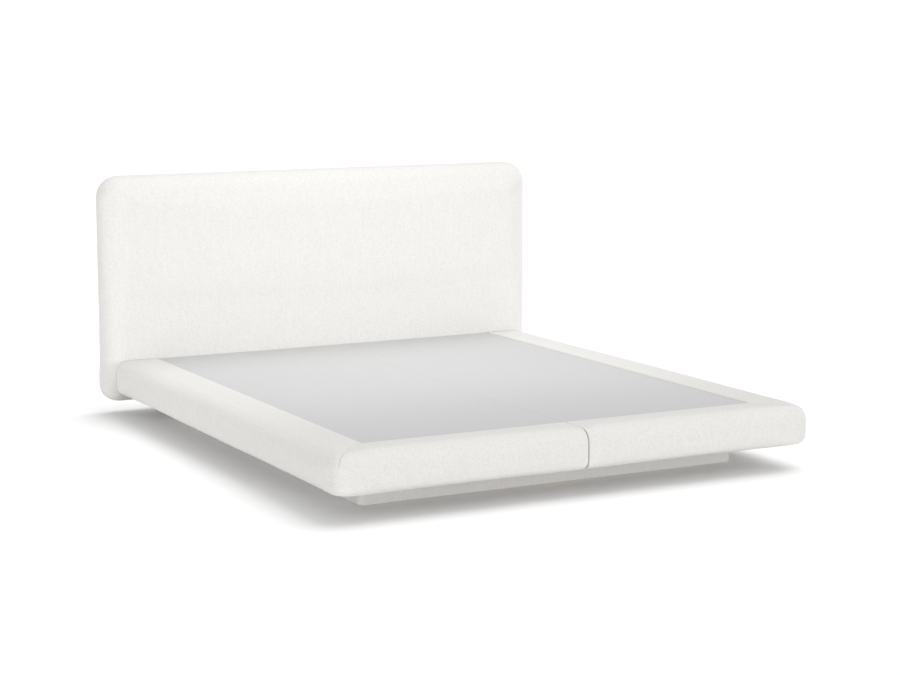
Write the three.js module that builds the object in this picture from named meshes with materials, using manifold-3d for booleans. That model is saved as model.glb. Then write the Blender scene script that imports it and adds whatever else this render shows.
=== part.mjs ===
// Upholstered platform bed with a slab headboard, millimetres, +Z up.
// The head of the bed is at +Y and the foot at -Y; the origin is on the floor, in the middle of the bed.
// The platform is two half-frames, left (-X) and right (+X), bolted together over a recessed plinth.

import * as THREE from "three";
import { mergeVertices } from "three/addons/utils/BufferGeometryUtils.js";
import Module from "manifold-3d";

const wasm = await Module();
wasm.setup();

// ---------------------------------------------------------------- driving dimensions

const GAP = 0.3; // between pieces that touch
const FABRIC = 2; // thickness of every cover

const MATTRESS_WIDTH = 1600;
const MATTRESS_LENGTH = 2000;
const MATTRESS_SPARE = 20; // deck length beyond the mattress
const DECK_HEIGHT = 234; // top of the grey deck above the floor
const DECK_BOARD = 18;
const DECK_MARGIN = 1; // round each deck panel

const SIDE_RIM_WIDTH = 184;
const FOOT_RIM_WIDTH = 170;
const RIM_CLEARANCE = 88; // floor to the underside of the rim
const RIM_CROWN = 6; // rim top above the deck
const RIM_CORNER = 80; // outer corner radius, seen from above
const RIM_TOP_EDGE = 55;
const RIM_BOTTOM_EDGE = 45;
const RIM_FOAM_SIDE = 40; // foam and cover outside the aprons
const RIM_FOAM_TOP = 30;
const RIM_FOAM_UNDER = 15;

const APRON = 18; // outer aprons
const INNER_APRON = 22;
const TOP_BOARD = 12;
const CENTRE_BEAM = 35;
const JOIST_WIDTH = 45;
const JOIST_PLACES = { front: 1 / 3, rear: 2 / 3 }; // share of the deck's length
const HEAD_RAIL = 22;

const HEADBOARD_OVERHANG = 36; // beyond the rim at each side
const HEADBOARD_THICKNESS = 150;
const HEADBOARD_CLEARANCE = 56; // floor to its underside
const HEADBOARD_TOP = 1009;
const HEADBOARD_CORNER = 92; // corner radius, seen from the front
const HEADBOARD_FRONT_EDGE = 80;
const HEADBOARD_BACK_EDGE = 60;
const HEADBOARD_FRAME_DEPTH = 55;
const HEADBOARD_PANEL = 9;
const HEADBOARD_STILE = 140;
const HEADBOARD_MIDDLE_STILE = 70;
const HEADBOARD_TOP_RAIL = 130;
const HEADBOARD_BOTTOM_RAIL = 150;
const BACK_COVER_MARGIN = 110; // front cover turned over onto the back

const SPACER_SIZE = 80;
const SPACER_X = 600;
const BOLT_RADIUS = 5;
const BOLT_HEAD_RADIUS = 11;
const BOLT_HEAD = 5;
const BOLT_TIP_COVER = 10; // wood left behind the tip of a headboard bolt

const PLINTH_SIDE_INSET = 204; // rim face back to the plinth
const PLINTH_FOOT_INSET = 242;
const PLINTH_HEAD_INSET = 120; // headboard face back to the plinth
const PLINTH_BOARD = 18;
const PLINTH_CORNER = 25;
const PLINTH_COVER_TURN = 3; // cover stops this far below the plinth's top
const GLIDE = 3; // plastic strip under the side boards

const LEG_SIZE = 60;
const LEG_PLACES = { front: 1 / 3, rear: 2 / 3 }; // share of the plinth's length
const FOOT_PAD_RADIUS = 22;
const FOOT_PAD = 8;
const FOOT_STEM_RADIUS = 5;
const FOOT_STEM = 45;
const STEM_SPARE = 3; // hole beyond the stem's end

const ARC_STEPS = 5; // facets in each quarter turn of a rounded edge or corner
const ROUND_STEPS = 20; // facets round a bolt or a foot
const SMALLEST_RADIUS = 1; // of any corner outline
const MOST_ROLLED = 0.96; // share of a slab's thickness that its two rolled edges may take

// ---------------------------------------------------------------- places worked out from them

const deckHalf = MATTRESS_WIDTH / 2;
const deckLength = MATTRESS_LENGTH + MATTRESS_SPARE;
const footFace = -(FOOT_RIM_WIDTH + deckLength + HEADBOARD_THICKNESS) / 2;
const deckFoot = footFace + FOOT_RIM_WIDTH;
const headFace = deckFoot + deckLength;
const backFace = headFace + HEADBOARD_THICKNESS;
const rimHalf = deckHalf + SIDE_RIM_WIDTH;
const rimTop = DECK_HEIGHT + RIM_CROWN;
const platformHead = headFace - GAP;

const timberBottom = RIM_CLEARANCE + RIM_FOAM_UNDER;
const timberTop = rimTop - RIM_FOAM_TOP;
const apronTop = timberTop - TOP_BOARD - GAP;
const apronFace = rimHalf - RIM_FOAM_SIDE - GAP; // outer face of the side aprons
const footApronFace = footFace + RIM_FOAM_SIDE + GAP;
const innerFace = deckHalf + FABRIC + GAP; // inner face of the side inner aprons
const footInnerFace = deckFoot - FABRIC - GAP;
const deckUnderside = DECK_HEIGHT - FABRIC - GAP - DECK_BOARD;
const joistTop = deckUnderside - GAP;
const boltHeight = (timberBottom + joistTop) / 2; // every bolt runs at the middle of the beams

const FAR = 4000; // longer than any piece, for cutting tools

// ---------------------------------------------------------------- materials

const material = (colour, roughness, metalness = 0) =>
  new THREE.MeshStandardMaterial({ color: colour, roughness, metalness });

const creamFabric = material("#efedea", 0.95);
const greyFabric = material("#cfcfcf", 0.9);
const foam = material("#f1e4b4", 1);
const timber = material("#cba673", 0.7);
const plywood = material("#dcc194", 0.75);
const zincSteel = material("#b9bdc1", 0.35, 1);
const blackPlastic = material("#242424", 0.6);

// ---------------------------------------------------------------- shape helpers

const middle = ([low, high]) => (low + high) / 2;
const size = ([low, high]) => high - low;
const sideSpan = (side, near, far) => (side < 0 ? [-far, -near] : [near, far]);

// A box between two values along each axis, as geometry in the group's own frame.
function block(x, y, z) {
  return new THREE.BoxGeometry(size(x), size(y), size(z))
    .translate(middle(x), middle(y), middle(z));
}

// A sawn board: a box mesh placed by its middle.
function board(name, x, y, z, finish) {
  const mesh = new THREE.Mesh(new THREE.BoxGeometry(size(x), size(y), size(z)), finish);
  mesh.name = name;
  mesh.position.set(middle(x), middle(y), middle(z));
  return mesh;
}

// One closed outline: the rectangle of a slab with round corners, inset all round at height z.
function outline(slab, inset, z) {
  const radius = Math.max(slab.corner - inset, SMALLEST_RADIUS);
  const reach = inset + radius;
  const corners = [[1, 1], [0, 1], [0, 0], [1, 0]];
  return corners.flatMap(([right, rear], quarter) => {
    const cx = slab.x[right] + (right ? -reach : reach);
    const cy = slab.y[rear] + (rear ? -reach : reach);
    return Array.from({ length: ARC_STEPS + 1 }, (_, i) => {
      const turn = (quarter + i / ARC_STEPS) * Math.PI / 2;
      return [cx + radius * Math.cos(turn), cy + radius * Math.sin(turn), z];
    });
  });
}

// Inset and rise of each outline along a rolled edge, from the flat face outwards.
function rolledEdge(radius) {
  if (radius === 0) return [[0, 0]];
  return Array.from({ length: ARC_STEPS + 1 }, (_, i) => {
    const turn = i / ARC_STEPS * Math.PI / 2;
    return [radius * (1 - Math.sin(turn)), radius * (1 - Math.cos(turn))];
  });
}

// The outlines of a slab from its low face to its high face; rolled edges never meet in a thin slab.
function slabRings(slab) {
  const room = size(slab.z) * MOST_ROLLED;
  const fit = slab.low + slab.high > room ? room / (slab.low + slab.high) : 1;
  const low = rolledEdge(slab.low * fit);
  const high = rolledEdge(slab.high * fit).reverse();
  return [
    ...low.map(([inset, rise]) => outline(slab, inset, slab.z[0] + rise)),
    ...high.map(([inset, rise]) => outline(slab, inset, slab.z[1] - rise)),
  ];
}

// A slab with round corners and rolled edges: {x, y, z, corner, low, high}.
function roundedSlab(slab) {
  const rings = slabRings(slab);
  const count = rings[0].length;
  const points = rings.flat();
  const faces = [];
  for (let ring = 0; ring + 1 < rings.length; ring += 1) {
    for (let i = 0; i < count; i += 1) {
      const a = ring * count + i;
      const b = ring * count + (i + 1) % count;
      faces.push(a, b, b + count, a, b + count, a + count);
    }
  }
  const last = (rings.length - 1) * count;
  for (let i = 1; i + 1 < count; i += 1) {
    faces.push(0, i + 1, i, last, last + i, last + i + 1);
  }
  const geometry = new THREE.BufferGeometry();
  geometry.setAttribute("position", new THREE.Float32BufferAttribute(points.flat(), 3));
  geometry.setIndex(faces);
  return geometry;
}

// The same slab with every face moved in by one distance.
function shrink(slab, inset) {
  const inward = ([low, high]) => [low + inset, high - inset];
  return {
    x: inward(slab.x), y: inward(slab.y), z: inward(slab.z),
    corner: slab.corner - inset,
    low: Math.max(slab.low - inset, 0), high: Math.max(slab.high - inset, 0),
  };
}

// A closed geometry as a solid that can be cut.
function solid(geometry) {
  const bare = new THREE.BufferGeometry();
  bare.setAttribute("position", geometry.getAttribute("position"));
  bare.setIndex(geometry.index);
  const merged = mergeVertices(bare, 1e-4);
  return new wasm.Manifold(new wasm.Mesh({
    numProp: 3,
    vertProperties: new Float32Array(merged.attributes.position.array),
    triVerts: new Uint32Array(merged.index.array),
  }));
}

const slabSolid = (slab) => solid(roundedSlab(slab));
const blockSolid = (x, y, z) => solid(block(x, y, z));

// A finished solid as a named mesh.
function piece(name, made, finish) {
  const { numProp, vertProperties, triVerts } = made.getMesh();
  const positions = new Float32Array(triVerts.length * 3);
  triVerts.forEach((vertex, i) => {
    positions.set(vertProperties.subarray(vertex * numProp, vertex * numProp + 3), i * 3);
  });
  const geometry = new THREE.BufferGeometry();
  geometry.setAttribute("position", new THREE.BufferAttribute(positions, 3));
  geometry.computeVertexNormals();
  const mesh = new THREE.Mesh(geometry, finish);
  mesh.name = name;
  return mesh;
}

// A turned piece from its half profile [radius, height], standing on +Y.
function turned(profile) {
  return new THREE.LatheGeometry(profile.map(([r, h]) => new THREE.Vector2(r, h)), ROUND_STEPS);
}

// Cuts a ring of slab wall into its low, high, left and right members, as {low, high, left, right}.
function members(ring, y, lowReach, highReach) {
  const split = [y[0] + lowReach, y[1] - highReach];
  const all = [-FAR, FAR];
  const between = [split[0] + GAP, split[1] - GAP];
  const keep = (x, yRange) => ring.intersect(blockSolid(x, yRange, all));
  return {
    low: keep(all, [-FAR, split[0]]),
    high: keep(all, [split[1], FAR]),
    left: keep([-FAR, 0], between),
    right: keep([0, FAR], between),
  };
}

// ---------------------------------------------------------------- platform halves

const platformSlab = {
  x: [-rimHalf, rimHalf],
  y: [footFace, backFace + RIM_CORNER],
  z: [RIM_CLEARANCE, rimTop],
  corner: RIM_CORNER, low: RIM_BOTTOM_EDGE, high: RIM_TOP_EDGE,
};

// The space the deck lies in, grown by a distance at both sides and the foot.
function well(grow, z = [-FAR, FAR]) {
  return blockSolid([-deckHalf - grow, deckHalf + grow], [deckFoot - grow, FAR], z);
}

const rimAt = (inset) => slabSolid(shrink(platformSlab, inset)).subtract(well(inset));

// The rim's cover, from its hem beside the deck, over the top and round to the underside.
function rimCover() {
  const hem = well(FABRIC + GAP, [-FAR, joistTop + GAP]);
  return rimAt(0).subtract(rimAt(FABRIC)).subtract(hem);
}

// The rim's foam, hollow for the boards that it wraps.
function rimFoam() {
  const boards = blockSolid(
    [-apronFace - GAP, apronFace + GAP],
    [footApronFace - GAP, FAR],
    [timberBottom - GAP, timberTop + GAP],
  );
  return rimAt(FABRIC + GAP).subtract(boards);
}

// Upright prism over a plan outline, through the full height of the bed.
function prism(points) {
  const shape = new THREE.Shape(points.map(([x, y]) => new THREE.Vector2(x, y)));
  const geometry = new THREE.ExtrudeGeometry(shape, { depth: HEADBOARD_TOP, bevelEnabled: false });
  return solid(geometry);
}

// The two parts of one half of the rim, split by the mitre from the deck's corner to the outer corner.
function rimZones(side) {
  const [dx, dy] = [SIDE_RIM_WIDTH, -FOOT_RIM_WIDTH];
  const shift = GAP / 2 * Math.hypot(dx, dy) / -dy;
  const on = (share, away) => [side * (deckHalf + share * dx + away * shift), deckFoot + share * dy];
  const centre = side * GAP / 2;
  const reach = 3; // how far past the two corners the cut runs, in rim widths
  return {
    side: prism([on(-1, 1), on(reach, 1), [side * FAR, deckFoot + reach * dy],
      [side * FAR, platformHead], [on(-1, 1)[0], platformHead]]),
    foot: prism([on(-1, -1), on(reach, -1), [centre, deckFoot + reach * dy], [centre, deckFoot - dy]]),
  };
}

// Foam and covers of one half of the rim.
function rimUpholstery(name, side, wholeFoam, wholeCover) {
  const zones = rimZones(side);
  return [
    piece(`${name}_side_foam`, wholeFoam.intersect(zones.side), foam),
    piece(`${name}_foot_foam`, wholeFoam.intersect(zones.foot), foam),
    piece(`${name}_side_cover`, wholeCover.intersect(zones.side), creamFabric),
    piece(`${name}_foot_cover`, wholeCover.intersect(zones.foot), creamFabric),
  ];
}

// The box of boards inside one half of the rim.
function rimBoards(name, side) {
  const height = [timberBottom, apronTop];
  const top = [timberTop - TOP_BOARD, timberTop];
  const lengthwise = [footApronFace + APRON + GAP, platformHead];
  const innerEnd = innerFace - GAP;
  const across = (near, far) => sideSpan(side, near, far);
  return [
    board(`${name}_side_outer_apron`, across(apronFace - APRON, apronFace), lengthwise, height, timber),
    board(`${name}_side_inner_apron`, across(innerFace, innerFace + INNER_APRON), lengthwise, height, timber),
    board(`${name}_side_top_board`, across(innerFace, apronFace), [footApronFace, platformHead], top, plywood),
    board(`${name}_foot_outer_apron`, across(GAP / 2, apronFace),
      [footApronFace, footApronFace + APRON], height, timber),
    board(`${name}_foot_inner_apron`, across(GAP / 2, innerEnd),
      [footInnerFace - INNER_APRON, footInnerFace], height, timber),
    board(`${name}_foot_top_board`, across(GAP / 2, innerEnd), [footApronFace, footInnerFace], top, plywood),
  ];
}

// A round hole's tool along X (turn "x") or Y (turn "y"), centred at a point.
function holeTool(radius, length, turn, x, y, z) {
  const geometry = new THREE.CylinderGeometry(radius, radius, length, ROUND_STEPS);
  if (turn === "x") geometry.rotateZ(Math.PI / 2);
  return solid(geometry.translate(x, y, z));
}

// Centre beam, joists and head rail that carry one half of the deck.
function deckFrame(name, side) {
  const height = [timberBottom, joistTop];
  const span = sideSpan(side, GAP / 2 + CENTRE_BEAM + GAP, innerFace - GAP);
  const headRail = [platformHead - HEAD_RAIL, platformHead];
  const beam = blockSolid(sideSpan(side, GAP / 2, GAP / 2 + CENTRE_BEAM),
    [footInnerFace + GAP, headRail[0] - GAP], height);
  const rail = blockSolid(sideSpan(side, GAP / 2, innerFace - GAP), headRail, height);
  const beamHole = holeTool(BOLT_RADIUS + GAP, 4 * CENTRE_BEAM, "x", 0, 0, boltHeight);
  const railHole = holeTool(BOLT_RADIUS + GAP, 4 * HEAD_RAIL, "y", side * SPACER_X, platformHead, boltHeight);
  const joists = Object.entries(JOIST_PLACES).map(([place, share]) => {
    const y = deckFoot + share * deckLength;
    return board(`${name}_${place}_joist`, span, [y - JOIST_WIDTH / 2, y + JOIST_WIDTH / 2], height, timber);
  });
  return [
    piece(`${name}_centre_beam`, beam.subtract(beamHole), timber),
    piece(`${name}_head_rail`, rail.subtract(railHole), timber),
    ...joists,
  ];
}

// One half of the deck: a plywood board in a grey cover that turns down its four edges.
function deckPanel(name, side) {
  const x = sideSpan(side, DECK_MARGIN, deckHalf - DECK_MARGIN);
  const y = [deckFoot + DECK_MARGIN, platformHead - DECK_MARGIN];
  const inward = ([low, high], inset) => [low + inset, high - inset];
  const lining = FABRIC + GAP;
  const cover = blockSolid(x, y, [deckUnderside, DECK_HEIGHT])
    .subtract(blockSolid(inward(x, FABRIC), inward(y, FABRIC), [0, DECK_HEIGHT - FABRIC]));
  return [
    board(`${name}_deck_board`, inward(x, lining), inward(y, lining),
      [deckUnderside, DECK_HEIGHT - lining], plywood),
    piece(`${name}_deck_cover`, cover, greyFabric),
  ];
}

// The bolt that holds the two centre beams together, with a flat head at each end.
function joiningBolt() {
  const shank = CENTRE_BEAM + GAP / 2 + GAP;
  const end = shank + BOLT_HEAD;
  const bolt = new THREE.Mesh(turned([
    [0, -end], [BOLT_HEAD_RADIUS, -end], [BOLT_HEAD_RADIUS, -shank], [BOLT_RADIUS, -shank],
    [BOLT_RADIUS, shank], [BOLT_HEAD_RADIUS, shank], [BOLT_HEAD_RADIUS, end], [0, end],
  ]), zincSteel);
  bolt.name = "joining_bolt";
  bolt.rotation.z = Math.PI / 2;
  bolt.position.z = boltHeight;
  return bolt;
}

function platform() {
  const group = new THREE.Group();
  const wholeFoam = rimFoam();
  const wholeCover = rimCover();
  for (const [name, side] of [["left", -1], ["right", 1]]) {
    group.add(...rimBoards(name, side), ...rimUpholstery(name, side, wholeFoam, wholeCover),
      ...deckFrame(name, side), ...deckPanel(name, side));
  }
  group.add(joiningBolt());
  return group;
}

// ---------------------------------------------------------------- headboard

// In the headboard's own frame X is across, Y is up from its underside, and Z runs from back to front.
const headboardSlab = {
  x: [-rimHalf - HEADBOARD_OVERHANG, rimHalf + HEADBOARD_OVERHANG],
  y: [0, HEADBOARD_TOP - HEADBOARD_CLEARANCE],
  z: [0, HEADBOARD_THICKNESS],
  corner: HEADBOARD_CORNER, low: HEADBOARD_BACK_EDGE, high: HEADBOARD_FRONT_EDGE,
};
const lining = FABRIC + GAP;
const frameDepth = [lining, lining + HEADBOARD_FRAME_DEPTH];
const panelDepth = [frameDepth[1] + GAP, frameDepth[1] + GAP + HEADBOARD_PANEL];
const foamDepth = [panelDepth[1] + GAP, HEADBOARD_THICKNESS];
const boltUp = boltHeight - HEADBOARD_CLEARANCE;
const boltTip = lining + BOLT_TIP_COVER;

// The clear holes for both headboard bolts.
function boltHoles() {
  const length = HEADBOARD_THICKNESS;
  const drill = (x) => solid(new THREE.CylinderGeometry(BOLT_RADIUS + GAP, BOLT_RADIUS + GAP, length, ROUND_STEPS)
    .rotateX(Math.PI / 2).translate(x, boltUp, boltTip - GAP + length / 2));
  return drill(-SPACER_X).add(drill(SPACER_X));
}

// Rails and stiles of the headboard's frame, rounded at the back to suit the cover.
function headboardFrame(core, holes) {
  const [left, right] = headboardSlab.x;
  const [bottom, top] = headboardSlab.y;
  const layer = core.intersect(blockSolid([-FAR, FAR], [-FAR, FAR], frameDepth));
  const bay = blockSolid([left + HEADBOARD_STILE, right - HEADBOARD_STILE],
    [bottom + HEADBOARD_BOTTOM_RAIL, top - HEADBOARD_TOP_RAIL], [-FAR, FAR]);
  const made = members(layer.subtract(bay), [bottom, top], HEADBOARD_BOTTOM_RAIL, HEADBOARD_TOP_RAIL);
  const halfMiddle = HEADBOARD_MIDDLE_STILE / 2;
  return [
    piece("headboard_bottom_rail", made.low.subtract(holes), timber),
    piece("headboard_top_rail", made.high, timber),
    piece("headboard_left_stile", made.left, timber),
    piece("headboard_right_stile", made.right, timber),
    board("headboard_middle_stile", [-halfMiddle, halfMiddle],
      [bottom + HEADBOARD_BOTTOM_RAIL + GAP, top - HEADBOARD_TOP_RAIL - GAP], frameDepth, timber),
  ];
}

// Hard block in the foam at each bolt, so that the bolt pulls on wood.
function spacerBlock(side, grow) {
  const reach = SPACER_SIZE / 2 + grow;
  return blockSolid([side * SPACER_X - reach, side * SPACER_X + reach], [boltUp - reach, boltUp + reach], foamDepth);
}

// The foam with its two windows, and the blocks that fill them.
function headboardPadding(core, holes) {
  const layer = core.intersect(blockSolid([-FAR, FAR], [-FAR, FAR], foamDepth));
  const windows = spacerBlock(-1, GAP).add(spacerBlock(1, GAP));
  const spacer = (side) => layer.intersect(spacerBlock(side, 0)).subtract(holes);
  return [
    piece("headboard_foam", layer.subtract(windows), foam),
    piece("left_headboard_spacer", spacer(-1), timber),
    piece("right_headboard_spacer", spacer(1), timber),
  ];
}

// The front cover, turned over onto the back, and the flat back cover that fills what it leaves.
function headboardCovers(holes) {
  const opening = (inset, z) => blockSolid(
    headboardSlab.x.map((x) => x - Math.sign(x) * (BACK_COVER_MARGIN + inset)),
    [headboardSlab.y[0] + BACK_COVER_MARGIN + inset, headboardSlab.y[1] - BACK_COVER_MARGIN - inset], z);
  const shell = slabSolid(headboardSlab).subtract(slabSolid(shrink(headboardSlab, FABRIC)));
  return [
    piece("headboard_cover", shell.subtract(opening(0, [-FAR, lining])).subtract(holes), creamFabric),
    piece("headboard_back_cover", opening(GAP, [0, FABRIC]), creamFabric),
  ];
}

// Bolt from inside the platform, through head rail, cover and spacer, into the bottom rail.
function headboardBolt(name, side) {
  const seat = HEADBOARD_THICKNESS + GAP + HEAD_RAIL + GAP;
  const bolt = new THREE.Mesh(turned([
    [0, boltTip], [BOLT_RADIUS, boltTip], [BOLT_RADIUS, seat],
    [BOLT_HEAD_RADIUS, seat], [BOLT_HEAD_RADIUS, seat + BOLT_HEAD], [0, seat + BOLT_HEAD],
  ]), zincSteel);
  bolt.name = `${name}_headboard_bolt`;
  bolt.rotation.x = Math.PI / 2;
  bolt.position.set(side * SPACER_X, boltUp, 0);
  return bolt;
}

function headboard() {
  const core = slabSolid(shrink(headboardSlab, lining));
  const holes = boltHoles();
  const panel = core.intersect(blockSolid([-FAR, FAR], [-FAR, FAR], panelDepth)).subtract(holes);
  const group = new THREE.Group();
  group.add(...headboardFrame(core, holes), piece("headboard_front_panel", panel, plywood),
    ...headboardPadding(core, holes), ...headboardCovers(holes),
    headboardBolt("left", -1), headboardBolt("right", 1));
  group.rotation.x = Math.PI / 2;
  group.position.set(0, backFace, HEADBOARD_CLEARANCE);
  return group;
}

// ---------------------------------------------------------------- plinth and centre legs

const plinthX = [-rimHalf + PLINTH_SIDE_INSET, rimHalf - PLINTH_SIDE_INSET];
const plinthY = [footFace + PLINTH_FOOT_INSET, headFace - PLINTH_HEAD_INSET];
const plinthTop = timberBottom - GAP;

// The plinth's wall between two insets, with round corners and square edges.
function plinthWall(outer, inner, top) {
  const slab = { x: plinthX, y: plinthY, z: [GLIDE, top], corner: PLINTH_CORNER, low: 0, high: 0 };
  const shape = (inset, z) => slabSolid({ ...shrink(slab, inset), z });
  return shape(outer, [GLIDE, top]).subtract(shape(inner, [0, FAR]));
}

// Four boards and the four covers on them, named for the side they face.
function plinth() {
  const boardReach = lining + PLINTH_BOARD;
  const coverReach = PLINTH_CORNER + FABRIC;
  const wall = plinthWall(lining, boardReach, plinthTop);
  const skin = plinthWall(0, FABRIC, plinthTop - PLINTH_COVER_TURN);
  const sides = { low: "front", high: "rear", left: "left", right: "right" };
  const boards = Object.entries(members(wall, plinthY, boardReach, boardReach));
  const covers = Object.entries(members(skin, plinthY, coverReach, coverReach));
  const group = new THREE.Group();
  group.add(...boards.map(([part, made]) => piece(`plinth_${sides[part]}_board`, made, timber)));
  group.add(...covers.map(([part, made]) => piece(`plinth_${sides[part]}_cover`, made, creamFabric)));
  return group;
}

// Plastic strip under each side board, which the bed stands on.
function glideStrip(name, side) {
  const outer = plinthX[1] - lining;
  const inset = lining + PLINTH_BOARD + GAP;
  return board(`${name}_glide_strip`, sideSpan(side, outer - PLINTH_BOARD, outer),
    [plinthY[0] + inset, plinthY[1] - inset], [0, GLIDE - GAP], blackPlastic);
}

// Square leg under the centre beams, with the hole that its levelling foot screws into.
function centreLeg(name, y) {
  const half = LEG_SIZE / 2;
  const depth = FOOT_STEM + STEM_SPARE;
  const hole = new THREE.CylinderGeometry(FOOT_STEM_RADIUS + GAP, FOOT_STEM_RADIUS + GAP, 2 * depth, ROUND_STEPS)
    .rotateX(Math.PI / 2).translate(0, y, FOOT_PAD + GAP);
  const post = blockSolid([-half, half], [y - half, y + half], [FOOT_PAD + GAP, plinthTop]);
  return piece(`${name}_centre_leg`, post.subtract(solid(hole)), timber);
}

// Round pad on a threaded stem, screwed fully in.
function levellingFoot(name, y) {
  const foot = new THREE.Mesh(turned([
    [0, 0], [FOOT_PAD_RADIUS, 0], [FOOT_PAD_RADIUS, FOOT_PAD], [FOOT_STEM_RADIUS, FOOT_PAD],
    [FOOT_STEM_RADIUS, FOOT_PAD + FOOT_STEM], [0, FOOT_PAD + FOOT_STEM],
  ]), blackPlastic);
  foot.name = `${name}_levelling_foot`;
  foot.rotation.x = Math.PI / 2;
  foot.position.y = y;
  return foot;
}

function base() {
  const group = new THREE.Group();
  group.add(plinth(), glideStrip("left", -1), glideStrip("right", 1));
  for (const [place, share] of Object.entries(LEG_PLACES)) {
    const y = plinthY[0] + share * size(plinthY);
    group.add(centreLeg(place, y), levellingFoot(place, y));
  }
  return group;
}

const bed = new THREE.Group();
bed.add(platform(), headboard(), base());

export default bed;
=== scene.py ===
"""Upholstered platform bed: cream boucle headboard and rim, grey deck and a recessed fabric plinth.

Every length is in metres, in the bed's own frame: X runs across, Y from the foot to the head, Z up from
the floor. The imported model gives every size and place; what is built here is the soft, visible surface.
"""

from __future__ import annotations

import logging
import math
from collections.abc import Callable, Iterable, Sequence
from dataclasses import dataclass
from enum import Enum

import bpy
import numpy as np
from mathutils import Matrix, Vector, noise


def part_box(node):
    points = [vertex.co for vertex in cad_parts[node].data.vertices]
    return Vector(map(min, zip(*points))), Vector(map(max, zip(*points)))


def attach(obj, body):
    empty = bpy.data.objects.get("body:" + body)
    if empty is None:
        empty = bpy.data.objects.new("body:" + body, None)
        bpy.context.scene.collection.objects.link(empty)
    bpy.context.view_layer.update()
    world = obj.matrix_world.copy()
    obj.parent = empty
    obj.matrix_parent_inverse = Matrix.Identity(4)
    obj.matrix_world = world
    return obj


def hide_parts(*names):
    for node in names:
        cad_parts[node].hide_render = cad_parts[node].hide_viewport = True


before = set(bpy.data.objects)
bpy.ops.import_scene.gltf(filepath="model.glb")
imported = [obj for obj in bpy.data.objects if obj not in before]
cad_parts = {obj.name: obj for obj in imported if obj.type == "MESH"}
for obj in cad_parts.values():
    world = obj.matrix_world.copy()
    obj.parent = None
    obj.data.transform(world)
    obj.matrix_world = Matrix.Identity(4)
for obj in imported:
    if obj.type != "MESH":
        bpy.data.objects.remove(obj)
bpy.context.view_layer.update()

log = logging.getLogger("bed")
Colour = tuple[float, float, float]


class Body(Enum):
    """The rigid bodies of the bed."""

    BED = "bed"
    FRONT_FOOT = "front_foot"
    REAR_FOOT = "rear_foot"


class Slot(Enum):
    """The record's material slots, by name; the pieces here take their finishes directly, not from these."""

    CREAM_FABRIC = "cream_fabric"
    GREY_FABRIC = "grey_fabric"
    ZINC_STEEL = "zinc_steel"
    BLACK_PLASTIC = "black_plastic"


class Side(Enum):
    """The two halves of the bed, by the sign of X."""

    LEFT = -1
    RIGHT = 1

    @property
    def word(self) -> str:
        """Returns the half's name as it stands in node names."""
        return self.name.lower()


class Axis(Enum):
    """A direction that wood grain runs in."""

    X = 0
    Y = 1
    Z = 2


# ------------------------------------------------------------------------------------ node trees


class Sketch:
    """Adds nodes to one node tree and links them by socket name."""

    def __init__(self, tree: bpy.types.NodeTree) -> None:
        """Starts on an empty tree.

        Args:
            tree: The node tree to fill.
        """
        self.tree = tree
        tree.nodes.clear()

    def add(self, kind: str, inputs: dict | None = None, **settings: object) -> bpy.types.Node:
        """Adds one node.

        Args:
            kind: The node's type name.
            inputs: Socket name or number to a value, or to an output socket to link from.
            settings: Properties of the node, such as its operation.

        Returns:
            The new node.
        """
        node = self.tree.nodes.new(kind)
        for name, value in settings.items():
            setattr(node, name, value)
        for name, value in (inputs or {}).items():
            if isinstance(value, bpy.types.NodeSocket):
                self.tree.links.new(value, node.inputs[name])
            else:
                node.inputs[name].default_value = value
        return node

    def math(self, operation: str, first: object, second: object = 0.0) -> bpy.types.NodeSocket:
        """Returns the output of a Math node on two values or sockets."""
        return self.add("ShaderNodeMath", {0: first, 1: second}, operation=operation).outputs[0]

    def vector(self, operation: str, first: object, second: object) -> bpy.types.NodeSocket:
        """Returns the output of a Vector Math node on two values or sockets."""
        return self.add("ShaderNodeVectorMath", {0: first, 1: second}, operation=operation).outputs[0]

    def noise(self, vector: object, scale: object, detail: float = 2.0) -> bpy.types.NodeSocket:
        """Returns a noise texture's value from 0 to 1."""
        node = self.add("ShaderNodeTexNoise", {"Vector": vector, "Scale": scale, "Detail": detail})
        return node.outputs["Fac"]

    def ramp(self, value: object, low: float, high: float) -> bpy.types.NodeSocket:
        """Returns a value stretched so that low becomes 0 and high becomes 1, and clamped."""
        node = self.add("ShaderNodeMapRange", {"Value": value, "From Min": low, "From Max": high})
        return node.outputs["Result"]

    def mix(self, share: object, first: object, second: object) -> bpy.types.NodeSocket:
        """Returns the mix of two colours."""
        node = self.add("ShaderNodeMix", {0: share, 6: first, 7: second}, data_type="RGBA")
        return node.outputs[2]


@dataclass(frozen=True)
class GroupSocket:
    """One named input or output of a node group."""

    name: str
    kind: str
    default: object = None


def shader_group(
    name: str,
    inputs: Sequence[GroupSocket],
    outputs: Sequence[GroupSocket],
    fill: Callable[[Sketch, bpy.types.Node], dict],
) -> bpy.types.NodeTree:
    """Makes a shader node group once, and gives the same one after that.

    Args:
        name: The group's name.
        inputs: Its named inputs.
        outputs: Its named outputs.
        fill: Draws the nodes between the group's input node and the sockets that it returns by output name.

    Returns:
        The node group.
    """
    if name in bpy.data.node_groups:
        return bpy.data.node_groups[name]
    tree = bpy.data.node_groups.new(name, "ShaderNodeTree")
    sketch = Sketch(tree)
    for socket in inputs:
        made = tree.interface.new_socket(socket.name, in_out="INPUT", socket_type=socket.kind)
        if socket.default is not None:
            made.default_value = socket.default
    for socket in outputs:
        tree.interface.new_socket(socket.name, in_out="OUTPUT", socket_type=socket.kind)
    sketch.add("NodeGroupOutput", fill(sketch, sketch.add("NodeGroupInput")))
    return tree


VALUE, VECTOR, COLOUR = "NodeSocketFloat", "NodeSocketVector", "NodeSocketColor"


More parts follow.
